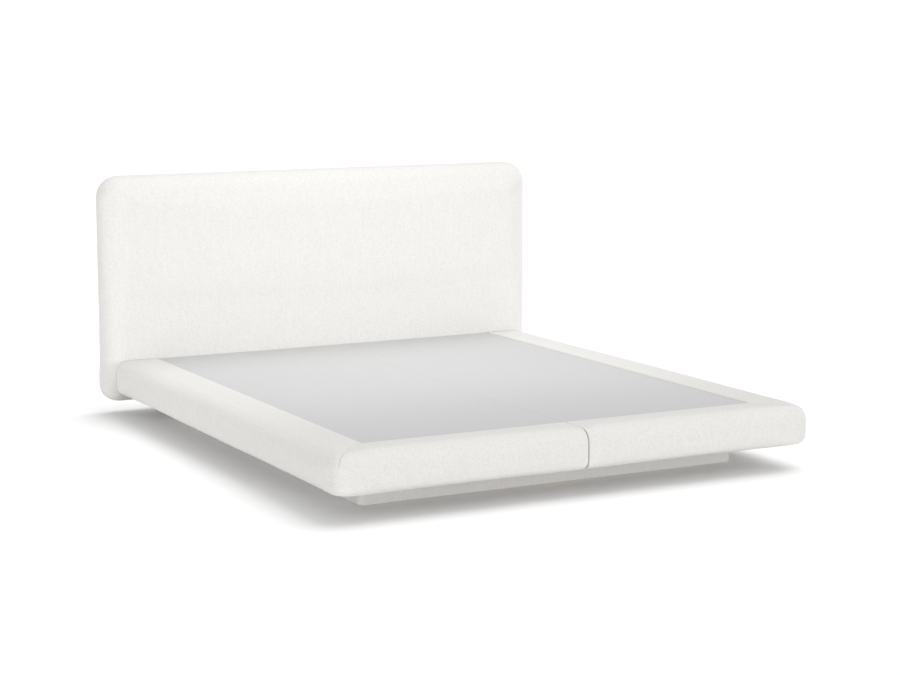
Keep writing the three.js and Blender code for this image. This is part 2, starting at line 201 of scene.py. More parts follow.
def boucle_group() -> bpy.types.NodeTree:
    """Returns the group for looped boucle yarn: curly loops, loose fibres, slubs, and painted shade in the
    gaps between loops.

    Returns:
        The node group.
    """

    def fill(sketch: Sketch, source: bpy.types.Node) -> dict:
        """Draws the loops as distorted cells, and mixes the yarn colour over a darker colour where the loops
        sink low: painted shade in the gaps between loops.

        Args:
            sketch: The group's node sketch.
            source: The group's input node.

        Returns:
            The sockets to put out, by output name.
        """
        place, loop = source.outputs["Vector"], source.outputs["Loop Size"]
        density = sketch.math("DIVIDE", 1.0, loop)
        wander = sketch.add("ShaderNodeTexNoise", {"Vector": place, "Scale": density, "Detail": 1.0})
        swing = sketch.vector("SUBTRACT", wander.outputs["Color"], (0.5, 0.5, 0.5))
        reach = sketch.add("ShaderNodeVectorMath", {0: swing, "Scale": sketch.math("MULTIPLY", loop, 1.5)},
                           operation="SCALE")
        curled = sketch.vector("ADD", place, reach.outputs[0])
        cells = sketch.add("ShaderNodeTexVoronoi",
                           {"Vector": curled, "Scale": density, "Smoothness": 0.35}, feature="SMOOTH_F1")
        strands = sketch.add("ShaderNodeTexVoronoi",
                             {"Vector": curled, "Scale": sketch.math("MULTIPLY", density, 2.4)},
                             feature="DISTANCE_TO_EDGE")
        loops = sketch.math("SUBTRACT", 1.0, cells.outputs["Distance"])
        strand = sketch.ramp(strands.outputs["Distance"], 0.0, 0.22)
        fibre = sketch.noise(place, sketch.math("MULTIPLY", density, 7.0), 3.0)
        height = sketch.math("ADD", sketch.math("MULTIPLY", loops, 0.62),
                             sketch.math("ADD", sketch.math("MULTIPLY", strand, 0.24),
                                         sketch.math("MULTIPLY", fibre, 0.14)))
        stretched = sketch.vector("MULTIPLY", place, (1.0, 1.0, 0.10))
        slub = sketch.ramp(sketch.noise(stretched, 95.0, 2.0), 0.42, 0.72)
        # The yarn share rises with the loops' height, so the low gaps between loops take the darker colour as
        # painted shade; slubs and clouds are real, random tone.
        light = sketch.math("ADD", sketch.ramp(height, 0.35, 0.80),
                            sketch.math("MULTIPLY", slub, source.outputs["Slub"]))
        clouds = sketch.math("MULTIPLY", sketch.noise(place, 2.2, 2.0), 0.10)
        shade = sketch.math("SUBTRACT", sketch.math("ADD", light, 0.05), clouds)
        tone = sketch.mix(sketch.ramp(shade, 0.0, 1.0), source.outputs["Gap Colour"],
                          source.outputs["Yarn Colour"])
        return {"Color": tone, "Height": height}

    return shader_group(
        "boucle_yarn",
        [GroupSocket("Vector", VECTOR), GroupSocket("Loop Size", VALUE, 0.006),
         GroupSocket("Slub", VALUE, 0.3), GroupSocket("Yarn Colour", COLOUR),
         GroupSocket("Gap Colour", COLOUR)],
        [GroupSocket("Color", COLOUR), GroupSocket("Height", VALUE)],
        fill,
    )


def weave_group() -> bpy.types.NodeTree:
    """Returns the group for a plain weave on a level surface: crossing threads with a heathered tone, and
    painted shade between the threads.

    Returns:
        The node group.
    """

    def fill(sketch: Sketch, source: bpy.types.Node) -> dict:
        """Draws warp along Y and weft along X, each wavering a little, and darkens the hollows between the
        threads as painted shade.

        Args:
            sketch: The group's node sketch.
            source: The group's input node.

        Returns:
            The sockets to put out, by output name.
        """
        place, pitch = source.outputs["Vector"], source.outputs["Pitch"]
        turn = sketch.math("DIVIDE", math.tau, pitch)
        waver = sketch.math("MULTIPLY", sketch.noise(place, 60.0, 2.0), 0.004)
        axes = sketch.add("ShaderNodeSeparateXYZ", {0: place})
        threads = []
        for name in ("X", "Y"):
            along = sketch.math("MULTIPLY", sketch.math("ADD", axes.outputs[name], waver), turn)
            threads.append(sketch.math("ABSOLUTE", sketch.math("SINE", along)))
        height = sketch.math("MULTIPLY", sketch.math("ADD", threads[0], threads[1]), 0.5)
        fleck = sketch.noise(place, 420.0, 3.0)
        heather = sketch.noise(sketch.vector("MULTIPLY", place, (1.0, 0.12, 1.0)), 160.0, 2.0)
        # The threads' height darkens the hollows between them as painted shade; the flecks and heather are
        # real, random tone.
        share = sketch.math("ADD", sketch.math("MULTIPLY", height, 0.35),
                            sketch.math("ADD", sketch.math("MULTIPLY", fleck, 0.35),
                                        sketch.math("MULTIPLY", heather, 0.30)))
        tone = sketch.mix(sketch.ramp(share, 0.25, 0.75), source.outputs["Dark"], source.outputs["Light"])
        return {"Color": tone, "Height": height}

    return shader_group(
        "plain_weave",
        [GroupSocket("Vector", VECTOR), GroupSocket("Pitch", VALUE, 0.003), GroupSocket("Light", COLOUR),
         GroupSocket("Dark", COLOUR)],
        [GroupSocket("Color", COLOUR), GroupSocket("Height", VALUE)],
        fill,
    )


def grain_group() -> bpy.types.NodeTree:
    """Returns the group for sawn wood: long growth lines and short pores along the grain.

    Returns:
        The node group.
    """

    def fill(sketch: Sketch, source: bpy.types.Node) -> dict:
        """Stretches noise along the grain and mixes early wood and late wood.

        Args:
            sketch: The group's node sketch.
            source: The group's input node.

        Returns:
            The sockets to put out, by output name.
        """
        place = sketch.vector("MULTIPLY", source.outputs["Vector"], source.outputs["Stretch"])
        growth = sketch.noise(place, 22.0, 3.0)
        lines = sketch.math("FRACT", sketch.math("MULTIPLY", growth, 9.0))
        late = sketch.ramp(sketch.math("ABSOLUTE", sketch.math("SUBTRACT", lines, 0.5)), 0.05, 0.5)
        pores = sketch.ramp(sketch.noise(place, 320.0, 2.0), 0.35, 0.65)
        share = sketch.math("ADD", sketch.math("MULTIPLY", late, 0.7), sketch.math("MULTIPLY", pores, 0.3))
        tone = sketch.mix(share, source.outputs["Late Wood"], source.outputs["Early Wood"])
        return {"Color": tone, "Height": share}

    return shader_group(
        "sawn_grain",
        [GroupSocket("Vector", VECTOR), GroupSocket("Stretch", VECTOR, (1.0, 1.0, 1.0)),
         GroupSocket("Early Wood", COLOUR), GroupSocket("Late Wood", COLOUR)],
        [GroupSocket("Color", COLOUR), GroupSocket("Height", VALUE)],
        fill,
    )


def smudge_group() -> bpy.types.NodeTree:
    """Returns the group for handling marks: a soft mask that moves roughness about its mean.

    Returns:
        The node group.
    """

    def fill(sketch: Sketch, source: bpy.types.Node) -> dict:
        """Spreads soft blotches of two sizes.

        Args:
            sketch: The group's node sketch.
            source: The group's input node.

        Returns:
            The sockets to put out, by output name.
        """
        place, scale = source.outputs["Vector"], source.outputs["Scale"]
        broad = sketch.noise(place, scale, 3.0)
        fine = sketch.noise(place, sketch.math("MULTIPLY", scale, 9.0), 2.0)
        mask = sketch.math("ADD", sketch.math("MULTIPLY", broad, 0.7), sketch.math("MULTIPLY", fine, 0.3))
        swing = sketch.math("MULTIPLY", sketch.math("SUBTRACT", mask, 0.5), source.outputs["Amount"])
        return {"Roughness": sketch.math("ADD", source.outputs["Mean"], swing), "Mask": mask}

    return shader_group(
        "smudges",
        [GroupSocket("Vector", VECTOR), GroupSocket("Scale", VALUE, 8.0), GroupSocket("Mean", VALUE, 0.5),
         GroupSocket("Amount", VALUE, 0.3)],
        [GroupSocket("Roughness", VALUE), GroupSocket("Mask", VALUE)],
        fill,
    )


# ------------------------------------------------------------------------------------ finishes


def opaque(colour: Colour) -> tuple[float, float, float, float]:
    """Returns a colour with full alpha."""
    return (*colour, 1.0)


def material_sketch(name: str) -> tuple[bpy.types.Material, Sketch, bpy.types.NodeSocket]:
    """Starts a node material.

    Args:
        name: The material's name.

    Returns:
        The material, a sketch on its tree, and the Object coordinates.
    """
    material = bpy.data.materials.new(name)
    material.use_nodes = True
    sketch = Sketch(material.node_tree)
    return material, sketch, sketch.add("ShaderNodeTexCoord").outputs["Object"]


def surface(sketch: Sketch, shader_inputs: dict) -> None:
    """Ends a material in a Principled shader with these inputs."""
    shader = sketch.add("ShaderNodeBsdfPrincipled", shader_inputs)
    sketch.add("ShaderNodeOutputMaterial", {"Surface": shader.outputs[0]})


def group_node(sketch: Sketch, group: bpy.types.NodeTree, inputs: dict) -> bpy.types.Node:
    """Places a node group in a material with its own values.

    Args:
        sketch: The material's node sketch.
        group: The group to place.
        inputs: Input name to a value or a socket.

    Returns:
        The placed node.
    """
    node = sketch.add("ShaderNodeGroup", node_tree=group)
    for name, value in inputs.items():
        if isinstance(value, bpy.types.NodeSocket):
            sketch.tree.links.new(value, node.inputs[name])
        else:
            node.inputs[name].default_value = value
    return node


def bump(sketch: Sketch, height: bpy.types.NodeSocket, strength: float, depth: float) -> bpy.types.NodeSocket:
    """Returns a normal bumped by a height, at this strength and depth in metres."""
    node = sketch.add("ShaderNodeBump", {"Height": height, "Strength": strength, "Distance": depth})
    return node.outputs["Normal"]


@dataclass(frozen=True)
class BoucleFinish:
    """Cream boucle upholstery fabric."""

    name: str = "cream_boucle"
    yarn: Colour = (0.680, 0.672, 0.656)
    # The gap colour is painted shade: the darker tone that the hollows between the loops take.
    gap: Colour = (0.612, 0.601, 0.581)
    loop: float = 0.0068
    slub: float = 0.22
    bump_strength: float = 0.35
    bump_depth: float = 0.0013
    roughness: float = 0.95
    sheen: float = 0.18

    def material(self) -> bpy.types.Material:
        """Returns the fabric's material.

        Returns:
            The material.
        """
        material, sketch, place = material_sketch(self.name)
        yarn = group_node(sketch, boucle_group(), {
            "Vector": place, "Loop Size": self.loop, "Slub": self.slub,
            "Yarn Colour": opaque(self.yarn), "Gap Colour": opaque(self.gap)})
        surface(sketch, {
            "Base Color": yarn.outputs["Color"], "Roughness": self.roughness,
            "Sheen Weight": self.sheen, "Sheen Roughness": 0.6, "Specular IOR Level": 0.15,
            "Normal": bump(sketch, yarn.outputs["Height"], self.bump_strength, self.bump_depth)})
        return material


@dataclass(frozen=True)
class DeckFinish:
    """Flat grey platform cloth."""

    name: str = "grey_platform_cloth"
    light: Colour = (0.560, 0.560, 0.560)
    # The dark colour serves both the random flecks and the painted shade in the hollows between threads.
    dark: Colour = (0.490, 0.490, 0.492)
    pitch: float = 0.0034
    bump_depth: float = 0.0003
    roughness: float = 0.9

    def material(self) -> bpy.types.Material:
        """Returns the cloth's material.

        Returns:
            The material.
        """
        material, sketch, place = material_sketch(self.name)
        weave = group_node(sketch, weave_group(), {
            "Vector": place, "Pitch": self.pitch, "Light": opaque(self.light), "Dark": opaque(self.dark)})
        surface(sketch, {
            "Base Color": weave.outputs["Color"], "Roughness": self.roughness, "Specular IOR Level": 0.2,
            "Normal": bump(sketch, weave.outputs["Height"], 0.35, self.bump_depth)})
        return material


@dataclass(frozen=True)
class WoodFinish:
    """Sawn softwood or plywood, with its grain along one axis."""

    name: str
    axis: Axis
    early: Colour = (0.660, 0.470, 0.260)
    late: Colour = (0.430, 0.260, 0.110)
    along_grain: float = 0.045
    roughness: float = 0.68

    def material(self) -> bpy.types.Material:
        """Returns the wood's material.

        Returns:
            The material.
        """
        material, sketch, place = material_sketch(self.name)
        stretch = [1.0, 1.0, 1.0]
        stretch[self.axis.value] = self.along_grain
        grain = group_node(sketch, grain_group(), {
            "Vector": place, "Stretch": stretch,
            "Early Wood": opaque(self.early), "Late Wood": opaque(self.late)})
        marks = group_node(sketch, smudge_group(), {
            "Vector": place, "Scale": 6.0, "Mean": self.roughness, "Amount": 0.25})
        surface(sketch, {
            "Base Color": grain.outputs["Color"], "Roughness": marks.outputs["Roughness"],
            "Normal": bump(sketch, grain.outputs["Height"], 0.3, 0.0004)})
        return material


@dataclass(frozen=True)
class FoamFinish:
    """Open-cell upholstery foam."""

    name: str = "upholstery_foam"
    light: Colour = (0.860, 0.760, 0.420)
    dark: Colour = (0.660, 0.550, 0.260)
    cell: float = 0.0014

    def material(self) -> bpy.types.Material:
        """Returns the foam's material.

        Returns:
            The material.
        """
        material, sketch, place = material_sketch(self.name)
        cells = sketch.add("ShaderNodeTexVoronoi", {"Vector": place, "Scale": 1.0 / self.cell})
        tone = sketch.mix(cells.outputs["Distance"], opaque(self.light), opaque(self.dark))
        surface(sketch, {"Base Color": tone, "Roughness": 1.0,
                         "Normal": bump(sketch, cells.outputs["Distance"], 0.5, 0.0005)})
        return material


@dataclass(frozen=True)
class SteelFinish:
    """Bright zinc-plated steel."""

    name: str = "zinc_plate"
    light: Colour = (0.660, 0.670, 0.690)
    dark: Colour = (0.460, 0.470, 0.480)
    roughness: float = 0.34

    def material(self) -> bpy.types.Material:
        """Returns the steel's material.

        Returns:
            The material.
        """
        material, sketch, place = material_sketch(self.name)
        marks = group_node(sketch, smudge_group(), {
            "Vector": place, "Scale": 60.0, "Mean": self.roughness, "Amount": 0.3})
        tone = sketch.mix(marks.outputs["Mask"], opaque(self.dark), opaque(self.light))
        surface(sketch, {"Base Color": tone, "Metallic": 1.0, "Roughness": marks.outputs["Roughness"],
                         "Normal": bump(sketch, marks.outputs["Mask"], 0.2, 0.0002)})
        return material


@dataclass(frozen=True)
class PlasticFinish:
    """Black moulded plastic with a fine spark texture."""

    name: str = "black_moulded_plastic"
    colour: Colour = (0.022, 0.022, 0.023)
    scuffed: Colour = (0.060, 0.060, 0.062)
    roughness: float = 0.55
    spark_scale: float = 1800.0

    def material(self) -> bpy.types.Material:
        """Returns the plastic's material.

        Returns:
            The material.
        """
        material, sketch, place = material_sketch(self.name)
        marks = group_node(sketch, smudge_group(), {
            "Vector": place, "Scale": 90.0, "Mean": self.roughness, "Amount": 0.3})
        spark = sketch.noise(place, self.spark_scale, 2.0)
        scuffs = sketch.ramp(marks.outputs["Mask"], 0.45, 0.7)
        tone = sketch.mix(scuffs, opaque(self.colour), opaque(self.scuffed))
        surface(sketch, {"Base Color": tone, "Roughness": marks.outputs["Roughness"],
                         "Normal": bump(sketch, spark, 0.25, 0.0002)})
        return material


@dataclass(frozen=True)
class Finishes:
    """Every finish of the bed, made once."""

    boucle: bpy.types.Material
    deck: bpy.types.Material
    foam: bpy.types.Material
    steel: bpy.types.Material
    plastic: bpy.types.Material
    timber: dict[Axis, bpy.types.Material]
    plywood: dict[Axis, bpy.types.Material]

    @classmethod
    def make(cls) -> Finishes:
        """Returns the finishes, with wood grain for each axis.

        Returns:
            The finishes.
        """
        return cls(
            boucle=BoucleFinish().material(),
            deck=DeckFinish().material(),
            foam=FoamFinish().material(),
            steel=SteelFinish().material(),
            plastic=PlasticFinish().material(),
            timber={axis: WoodFinish(f"timber_{axis.name.lower()}", axis).material() for axis in Axis},
            plywood={axis: WoodFinish(f"plywood_{axis.name.lower()}", axis, early=(0.74, 0.57, 0.36),
                                      late=(0.60, 0.42, 0.22)).material() for axis in Axis},
        )


# ------------------------------------------------------------------------------------ meshes


def ticks(low: float, high: float, step: float) -> np.ndarray:
    """Returns evenly spaced values from low to high, about a step apart."""
    return np.linspace(low, high, max(2, round(abs(high - low) / step) + 1))


def joined_ticks(stops: Sequence[float], step: float) -> np.ndarray:
    """Returns evenly spaced values through every stop, about a step apart."""
    runs = [ticks(low, high, step) for low, high in zip(stops, stops[1:])]
    return np.concatenate([runs[0], *[run[1:] for run in runs[1:]]])


def grid_faces(rows: int, columns: int) -> np.ndarray:
    """Returns the quads of a grid whose points are stored row by row.

    Args:
        rows: How many rows of points.
        columns: How many points in a row.

    Returns:
        Four point numbers for each quad.
    """
    row, column = np.meshgrid(np.arange(rows - 1), np.arange(columns - 1), indexing="ij")
    first = (row * columns + column).ravel()
    return np.stack([first, first + 1, first + columns + 1, first + columns], axis=1)


def point_normals(points: np.ndarray, faces: np.ndarray) -> np.ndarray:
    """Returns unit normals at the points of a quad surface.

    Args:
        points: The surface's points.
        faces: Its quads.

    Returns:
        One unit vector for each point.
    """
    across = points[faces[:, 2]] - points[faces[:, 0]]
    down = points[faces[:, 3]] - points[faces[:, 1]]
    flat = np.cross(across, down)
    normals = np.zeros_like(points)
    for corner in range(4):
        np.add.at(normals, faces[:, corner], flat)
    return normals / np.maximum(np.linalg.norm(normals, axis=1, keepdims=True), 1e-12)


def soft_noise(points: np.ndarray, scale: float, seed: float) -> np.ndarray:
    """Returns smooth noise from -1 to 1 at each point.

    Args:
        points: The places, one row each.
        scale: Waves per metre.
        seed: Offset that picks one pattern.

    Returns:
        One value for each point.
    """
    shift = Vector((seed, 2.0 * seed, -seed))
    return np.array([noise.noise(Vector(p) * scale + shift) for p in points])


@dataclass(frozen=True)
class Ripple:
    """The slight unevenness of cloth or foam that hands have pulled tight."""

    waves: float
    seed: float
    height: float

    def at(self, points: np.ndarray) -> np.ndarray:
        """Returns how far each point stands proud, in metres."""
        return soft_noise(points, self.waves, self.seed) * self.height


@dataclass
class Skin:
    """An open quad surface and the surface behind it, which close into one padded solid."""

    outer: np.ndarray
    inner: np.ndarray
    faces: np.ndarray

    def border(self) -> np.ndarray:
        """Returns the directed edges that belong to one face only.

        Returns:
            Two point numbers for each edge.
        """
        edges = np.concatenate([self.faces[:, [i, (i + 1) % 4]] for i in range(4)])
        keys = np.sort(edges, axis=1)
        _, place, count = np.unique(keys, axis=0, return_index=True, return_counts=True)
        return edges[place[count == 1]]

    def mesh(self, name: str) -> bpy.types.Mesh:
        """Returns the closed mesh: front, back and the strips that join their borders.

        Args:
            name: The mesh's name.

        Returns:
            The mesh.
        """
        shift = len(self.outer)
        back = self.faces[:, ::-1] + shift
        rim = self.border()
        strips = np.stack([rim[:, 1], rim[:, 0], rim[:, 0] + shift, rim[:, 1] + shift], axis=1)
        mesh = bpy.data.meshes.new(name)
        mesh.from_pydata(np.vstack([self.outer, self.inner]).tolist(), [],
                         np.vstack([self.faces, back, strips]).tolist())
        mesh.validate()
        return mesh


def new_object(name: str, mesh: bpy.types.Mesh) -> bpy.types.Object:
    """Returns a new object in the scene that shows a mesh.

    Args:
        name: The object's name.
        mesh: The mesh that it shows.

    Returns:
        The object.
    """
    made = bpy.data.objects.new(name, mesh)
    bpy.context.scene.collection.objects.link(made)
    return made


def bake_modifiers(piece: bpy.types.Object) -> None:
    """Turns a piece's modifiers into its plain mesh.

    Args:
        piece: The piece to bake.
    """
    evaluated = piece.evaluated_get(bpy.context.evaluated_depsgraph_get())
    mesh = bpy.data.meshes.new_from_object(evaluated)
    piece.modifiers.clear()
    piece.data = mesh


def subdivide(piece: bpy.types.Object) -> None:
    """Rounds a piece's mesh with one subdivision and shades it smooth.

    Args:
        piece: The piece to round.
    """
    modifier = piece.modifiers.new("round", "SUBSURF")
    modifier.levels = modifier.render_levels = 1
    bake_modifiers(piece)
    piece.data.polygons.foreach_set("use_smooth", [True] * len(piece.data.polygons))


@dataclass(frozen=True)
class Inflation:
    """How a padded piece swells under its fabric."""

    pressure: float = 4.0
    frames: int = 20
    most: float = 0.006

    def swell(self, skin: Skin, hold: np.ndarray) -> np.ndarray:
        """Blows a skin up from inside by cloth simulation.

        Args:
            skin: The piece at rest, a little smaller than its finished shape.
            hold: For each outer point, from 0 for free to 1 for held still.

        Returns:
            The outer points after swelling, none moved further than the limit.
        """
        moved = self.simulate(skin, hold) - skin.outer
        length = np.maximum(np.linalg.norm(moved, axis=1, keepdims=True), 1e-9)
        limited = moved / length * self.most * np.tanh(length / self.most)
        return skin.outer + limited * (1.0 - hold)[:, None]

    def simulate(self, skin: Skin, hold: np.ndarray) -> np.ndarray:
        """Returns the outer points after the cloth simulation.

        Args:
            skin: The piece at rest.
            hold: For each outer point, from 0 for free to 1 for held still.

        Returns:
            The outer points.
        """
        piece = new_object("inflating", skin.mesh("inflating"))
        count = len(skin.outer)
        group = piece.vertex_groups.new(name="held")
        group.add(list(range(count, 2 * count)), 1.0, "REPLACE")
        for index in np.flatnonzero(hold > 0.0):
            group.add([int(index)], float(hold[index]), "REPLACE")
        cloth = piece.modifiers.new("cloth", "CLOTH")
        cloth.settings.quality = 4
        cloth.settings.vertex_group_mass = group.name
        cloth.settings.use_pressure = True
        cloth.settings.uniform_pressure_force = self.pressure
        cloth.settings.effector_weights.gravity = 0.0
        cloth.collision_settings.use_collision = False
        cloth.point_cache.frame_end = self.frames
        scene = bpy.context.scene
        for step in range(1, self.frames + 1):
            scene.frame_set(step)
        evaluated = piece.evaluated_get(bpy.context.evaluated_depsgraph_get())
        points = np.empty(len(evaluated.data.vertices) * 3)
        evaluated.data.vertices.foreach_get("co", points)
        bpy.data.objects.remove(piece)
        scene.frame_set(1)
        return points.reshape(-1, 3)[:count]


def finish_piece(piece: bpy.types.Object, material: bpy.types.Material,
                 body: Body = Body.BED) -> None:
    """Gives a piece its material and the body that it rides on.

    Args:
        piece: The piece.
        material: Its finish.
        body: The body that it rides on.
    """
    piece.data.materials.clear()
    piece.data.materials.append(material)
    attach(piece, body.value)
    log.info("%s: %d faces", piece.name, len(piece.data.polygons))


def facing_out(points: np.ndarray, faces: np.ndarray, outward: np.ndarray) -> np.ndarray:
    """Returns the faces, turned round where their normals run against the outward directions."""
    agreement = np.sum(point_normals(points, faces) * outward)
    return faces if agreement > 0.0 else faces[:, ::-1]


def box_of(*nodes: str) -> tuple[np.ndarray, np.ndarray]:
    """Returns the lowest and highest corner of the box round several CAD nodes."""
    boxes = [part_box(node) for node in nodes]
    return (np.min([low for low, _ in boxes], axis=0), np.max([high for _, high in boxes], axis=0))


def smooth_step(value: np.ndarray) -> np.ndarray:
    """Returns a value from 0 to 1 with soft ends, clamped."""
    share = np.clip(value, 0.0, 1.0)
    return share * share * (3.0 - 2.0 * share)


def rolled_depth(distance: np.ndarray, radius: np.ndarray) -> np.ndarray:
    """Returns how deep a surface lies at a distance from its end, where the end rolls over a radius."""
    inside = np.clip(radius - distance, 0.0, radius)
    return radius - np.sqrt(np.maximum(radius * radius - inside * inside, 0.0))


@dataclass(frozen=True)
class Slab:
    """A flat block with rounded corners and rolled edges, in its own axes.

    The first two axes lie in the slab's face, and the third runs from the front face into the slab.
    """

    half: tuple[float, float]
    thickness: float
    corner: float
    front: float
    back: float
    low_tightness: float = 0.0
    low_reach: float = 0.0

    def slack_at(self, up: np.ndarray) -> np.ndarray:
        """Returns the share of the full radii that the corners and edges have at each height of the face.

        Args:
            up: Heights in the slab's own axes, from its middle.

        Returns:
            From 1, for full, down to what the bottom has.
        """
        if self.low_tightness == 0.0:
            return np.ones_like(up)
        above = up + self.half[1] - self.corner
        return 1.0 - self.low_tightness * (1.0 - smooth_step(above / self.low_reach))

    def stops(self, axis: int, extra: Sequence[float], step: float) -> np.ndarray:
        """Returns the grid lines across one axis of the face.

        Args:
            axis: 0 or 1.
            extra: More distances in from each edge that need a grid line.
            step: Distance between lines.

        Returns:
            The lines' places, from one edge to the other.
        """
        half = self.half[axis]
        insets = sorted({0.0, self.front, self.back, self.corner, *extra})
        lines = [-half + inset for inset in insets] + [half - inset for inset in reversed(insets)]
        return joined_ticks(lines, step)

    def on_surface(self, flat: np.ndarray) -> tuple[np.ndarray, np.ndarray]:
        """Moves points of the sharp block's surface onto the rounded one.

        Args:
            flat: Points on the sharp block, centred in the first two axes.

        Returns:
            The rounded points and their outward directions.
        """
        plan, depth = flat[:, :2], flat[:, 2]
        share = self.slack_at(plan[:, 1])
        split = (self.front + self.thickness - self.back) / 2.0
        front, back, corner = self.front * share, self.back * share, self.corner * share
        radius = np.where(depth <= split, front, back)
        inner = np.array(self.half) - np.maximum(corner, radius)[:, None]
        nearest = np.clip(plan, -inner, inner)
        away = plan - nearest
        length = np.maximum(np.linalg.norm(away, axis=1), 1e-9)
        reach = np.minimum(length, np.maximum(corner - radius, 0.0))
        nearest = nearest + away / length[:, None] * reach[:, None]
        core = np.column_stack([nearest, np.clip(depth, front, self.thickness - back)])
        direction = flat - core
        direction /= np.maximum(np.linalg.norm(direction, axis=1, keepdims=True), 1e-9)
        return core + direction * radius[:, None], direction

    def shell(self, step: float, open_back: float, extra: Sequence[float] = (),
              ) -> tuple[np.ndarray, np.ndarray, np.ndarray]:
        """Makes the slab's skin: front, sides and a margin of the back.

        Args:
            step: Grid cell size.
            open_back: Width of the margin that covers the back's edge, or 0 for none.
            extra: More distances in from each edge that need a grid line.

        Returns:
            Points, faces and outward directions.
        """
        across = self.stops(0, [*extra, open_back], step)
        up = self.stops(1, [*extra, open_back], step)
        deep = joined_ticks([0.0, self.front, self.thickness - self.back, self.thickness], step)
        sheets = [(across, up, np.array([0.0])), (across, up, np.array([self.thickness])),
                  (across, np.array([up[0]]), deep), (across, np.array([up[-1]]), deep),
                  (np.array([across[0]]), up, deep), (np.array([across[-1]]), up, deep)]
        corners = []
        for number, (first, second, third) in enumerate(sheets):
            grid = np.stack(np.meshgrid(first, second, third, indexing="ij"), axis=-1)
            kept = [size for size in grid.shape[:3] if size > 1]
            cells = grid.reshape(*kept, 3)
            quads = np.stack([cells[:-1, :-1], cells[1:, :-1], cells[1:, 1:], cells[:-1, 1:]], axis=2)
            quads = quads.reshape(-1, 4, 3)
            if number == 1:
                middle = np.abs(quads.mean(axis=1)[:, :2])
                edge = np.array(self.half) - open_back
                quads = quads[np.any(middle > edge, axis=1)]
            corners.append(quads)
        quads = np.concatenate(corners)
        flat, index = np.unique(np.round(quads.reshape(-1, 3), 7), axis=0, return_inverse=True)
        faces = index.reshape(-1, 4)
        points, direction = self.on_surface(flat)
        flips = np.einsum("ij,ij->i", np.cross(points[faces[:, 2]] - points[faces[:, 0]],
                                               points[faces[:, 3]] - points[faces[:, 1]]),
                          direction[faces].mean(axis=1)) < 0.0
        faces[flips] = faces[flips][:, ::-1]
        return points, faces, direction


# ------------------------------------------------------------------------------------ what repeats


class Bead(Enum):
    """What is set along a path."""

    STITCH = "stitch"
    STAPLE = "staple"
    THREAD_RIDGE = "thread_ridge"


@dataclass(frozen=True)
class BeadRow:
    """A row of equal small pieces along paths, made by Geometry Nodes."""

    bead: Bead
    pitch: float
    length: float
    width: float

    def tree(self) -> bpy.types.NodeTree:
        """Returns the node tree that sets the beads out, made once for each kind.

        Returns:
            The node tree.
        """
        name = f"{self.bead.value}_row"
        if name in bpy.data.node_groups:
            return bpy.data.node_groups[name]
        tree = bpy.data.node_groups.new(name, "GeometryNodeTree")
        sketch = Sketch(tree)
        tree.interface.new_socket("Path", in_out="INPUT", socket_type="NodeSocketGeometry")
        for label in ("Pitch", "Length", "Width"):
            tree.interface.new_socket(label, in_out="INPUT", socket_type="NodeSocketFloat")
        tree.interface.new_socket("Finish", in_out="INPUT", socket_type="NodeSocketMaterial")
        tree.interface.new_socket("Beads", in_out="OUTPUT", socket_type="NodeSocketGeometry")
        source = sketch.add("NodeGroupInput")
        curve = sketch.add("GeometryNodeMeshToCurve", {"Mesh": source.outputs["Path"]})
        points = sketch.add("GeometryNodeCurveToPoints",
                            {"Curve": curve.outputs[0], "Length": source.outputs["Pitch"]}, mode="LENGTH")
        if self.bead is Bead.STAPLE:
            shape = sketch.add("GeometryNodeMeshCube", {"Size": (1.0, 1.0, 1.0)})
        else:
            segments, rings = (16, 4) if self.bead is Bead.THREAD_RIDGE else (6, 4)
            shape = sketch.add("GeometryNodeMeshUVSphere",
                               {"Segments": segments, "Rings": rings, "Radius": 0.5})
        size = sketch.add("ShaderNodeCombineXYZ", {"X": source.outputs["Width"], "Y": source.outputs["Width"],
                                                   "Z": source.outputs["Length"]})
        placed = sketch.add("GeometryNodeInstanceOnPoints", {
            "Points": points.outputs["Points"], "Instance": shape.outputs["Mesh"],
            "Rotation": points.outputs["Rotation"], "Scale": size.outputs[0]})
        real = sketch.add("GeometryNodeRealizeInstances", {0: placed.outputs[0]})
        finished = sketch.add("GeometryNodeSetMaterial", {"Geometry": real.outputs[0],
                                                          "Material": source.outputs["Finish"]})
        sketch.add("NodeGroupOutput", {"Beads": finished.outputs[0]})
        return tree

    def along(self, name: str, paths: Iterable[np.ndarray], material: bpy.types.Material) -> bpy.types.Object:
        """Sets the row along open or closed paths.

        Args:
            name: The new piece's name.
            paths: Point rows; a path whose ends meet is closed.
            material: The beads' finish.

        Returns:
            The piece, as a plain mesh.
        """
        points, edges = [], []
        for path in paths:
            start = len(points)
            points.extend(path.tolist())
            edges.extend((start + i, start + i + 1) for i in range(len(path) - 1))
        mesh = bpy.data.meshes.new(name)
        mesh.from_pydata(points, edges, [])
        piece = new_object(name, mesh)
        tree = self.tree()
        modifier = piece.modifiers.new("row", "NODES")
        modifier.node_group = tree
        settings = {"Pitch": self.pitch, "Length": self.length, "Width": self.width, "Finish": material}
        for item in tree.interface.items_tree:
            if item.item_type == "SOCKET" and item.in_out == "INPUT" and item.name in settings:
                modifier[item.identifier] = settings[item.name]
        bake_modifiers(piece)
        if self.bead is not Bead.STAPLE:
            piece.data.polygons.foreach_set("use_smooth", [True] * len(piece.data.polygons))
        return piece


# ------------------------------------------------------------------------------------ headboard


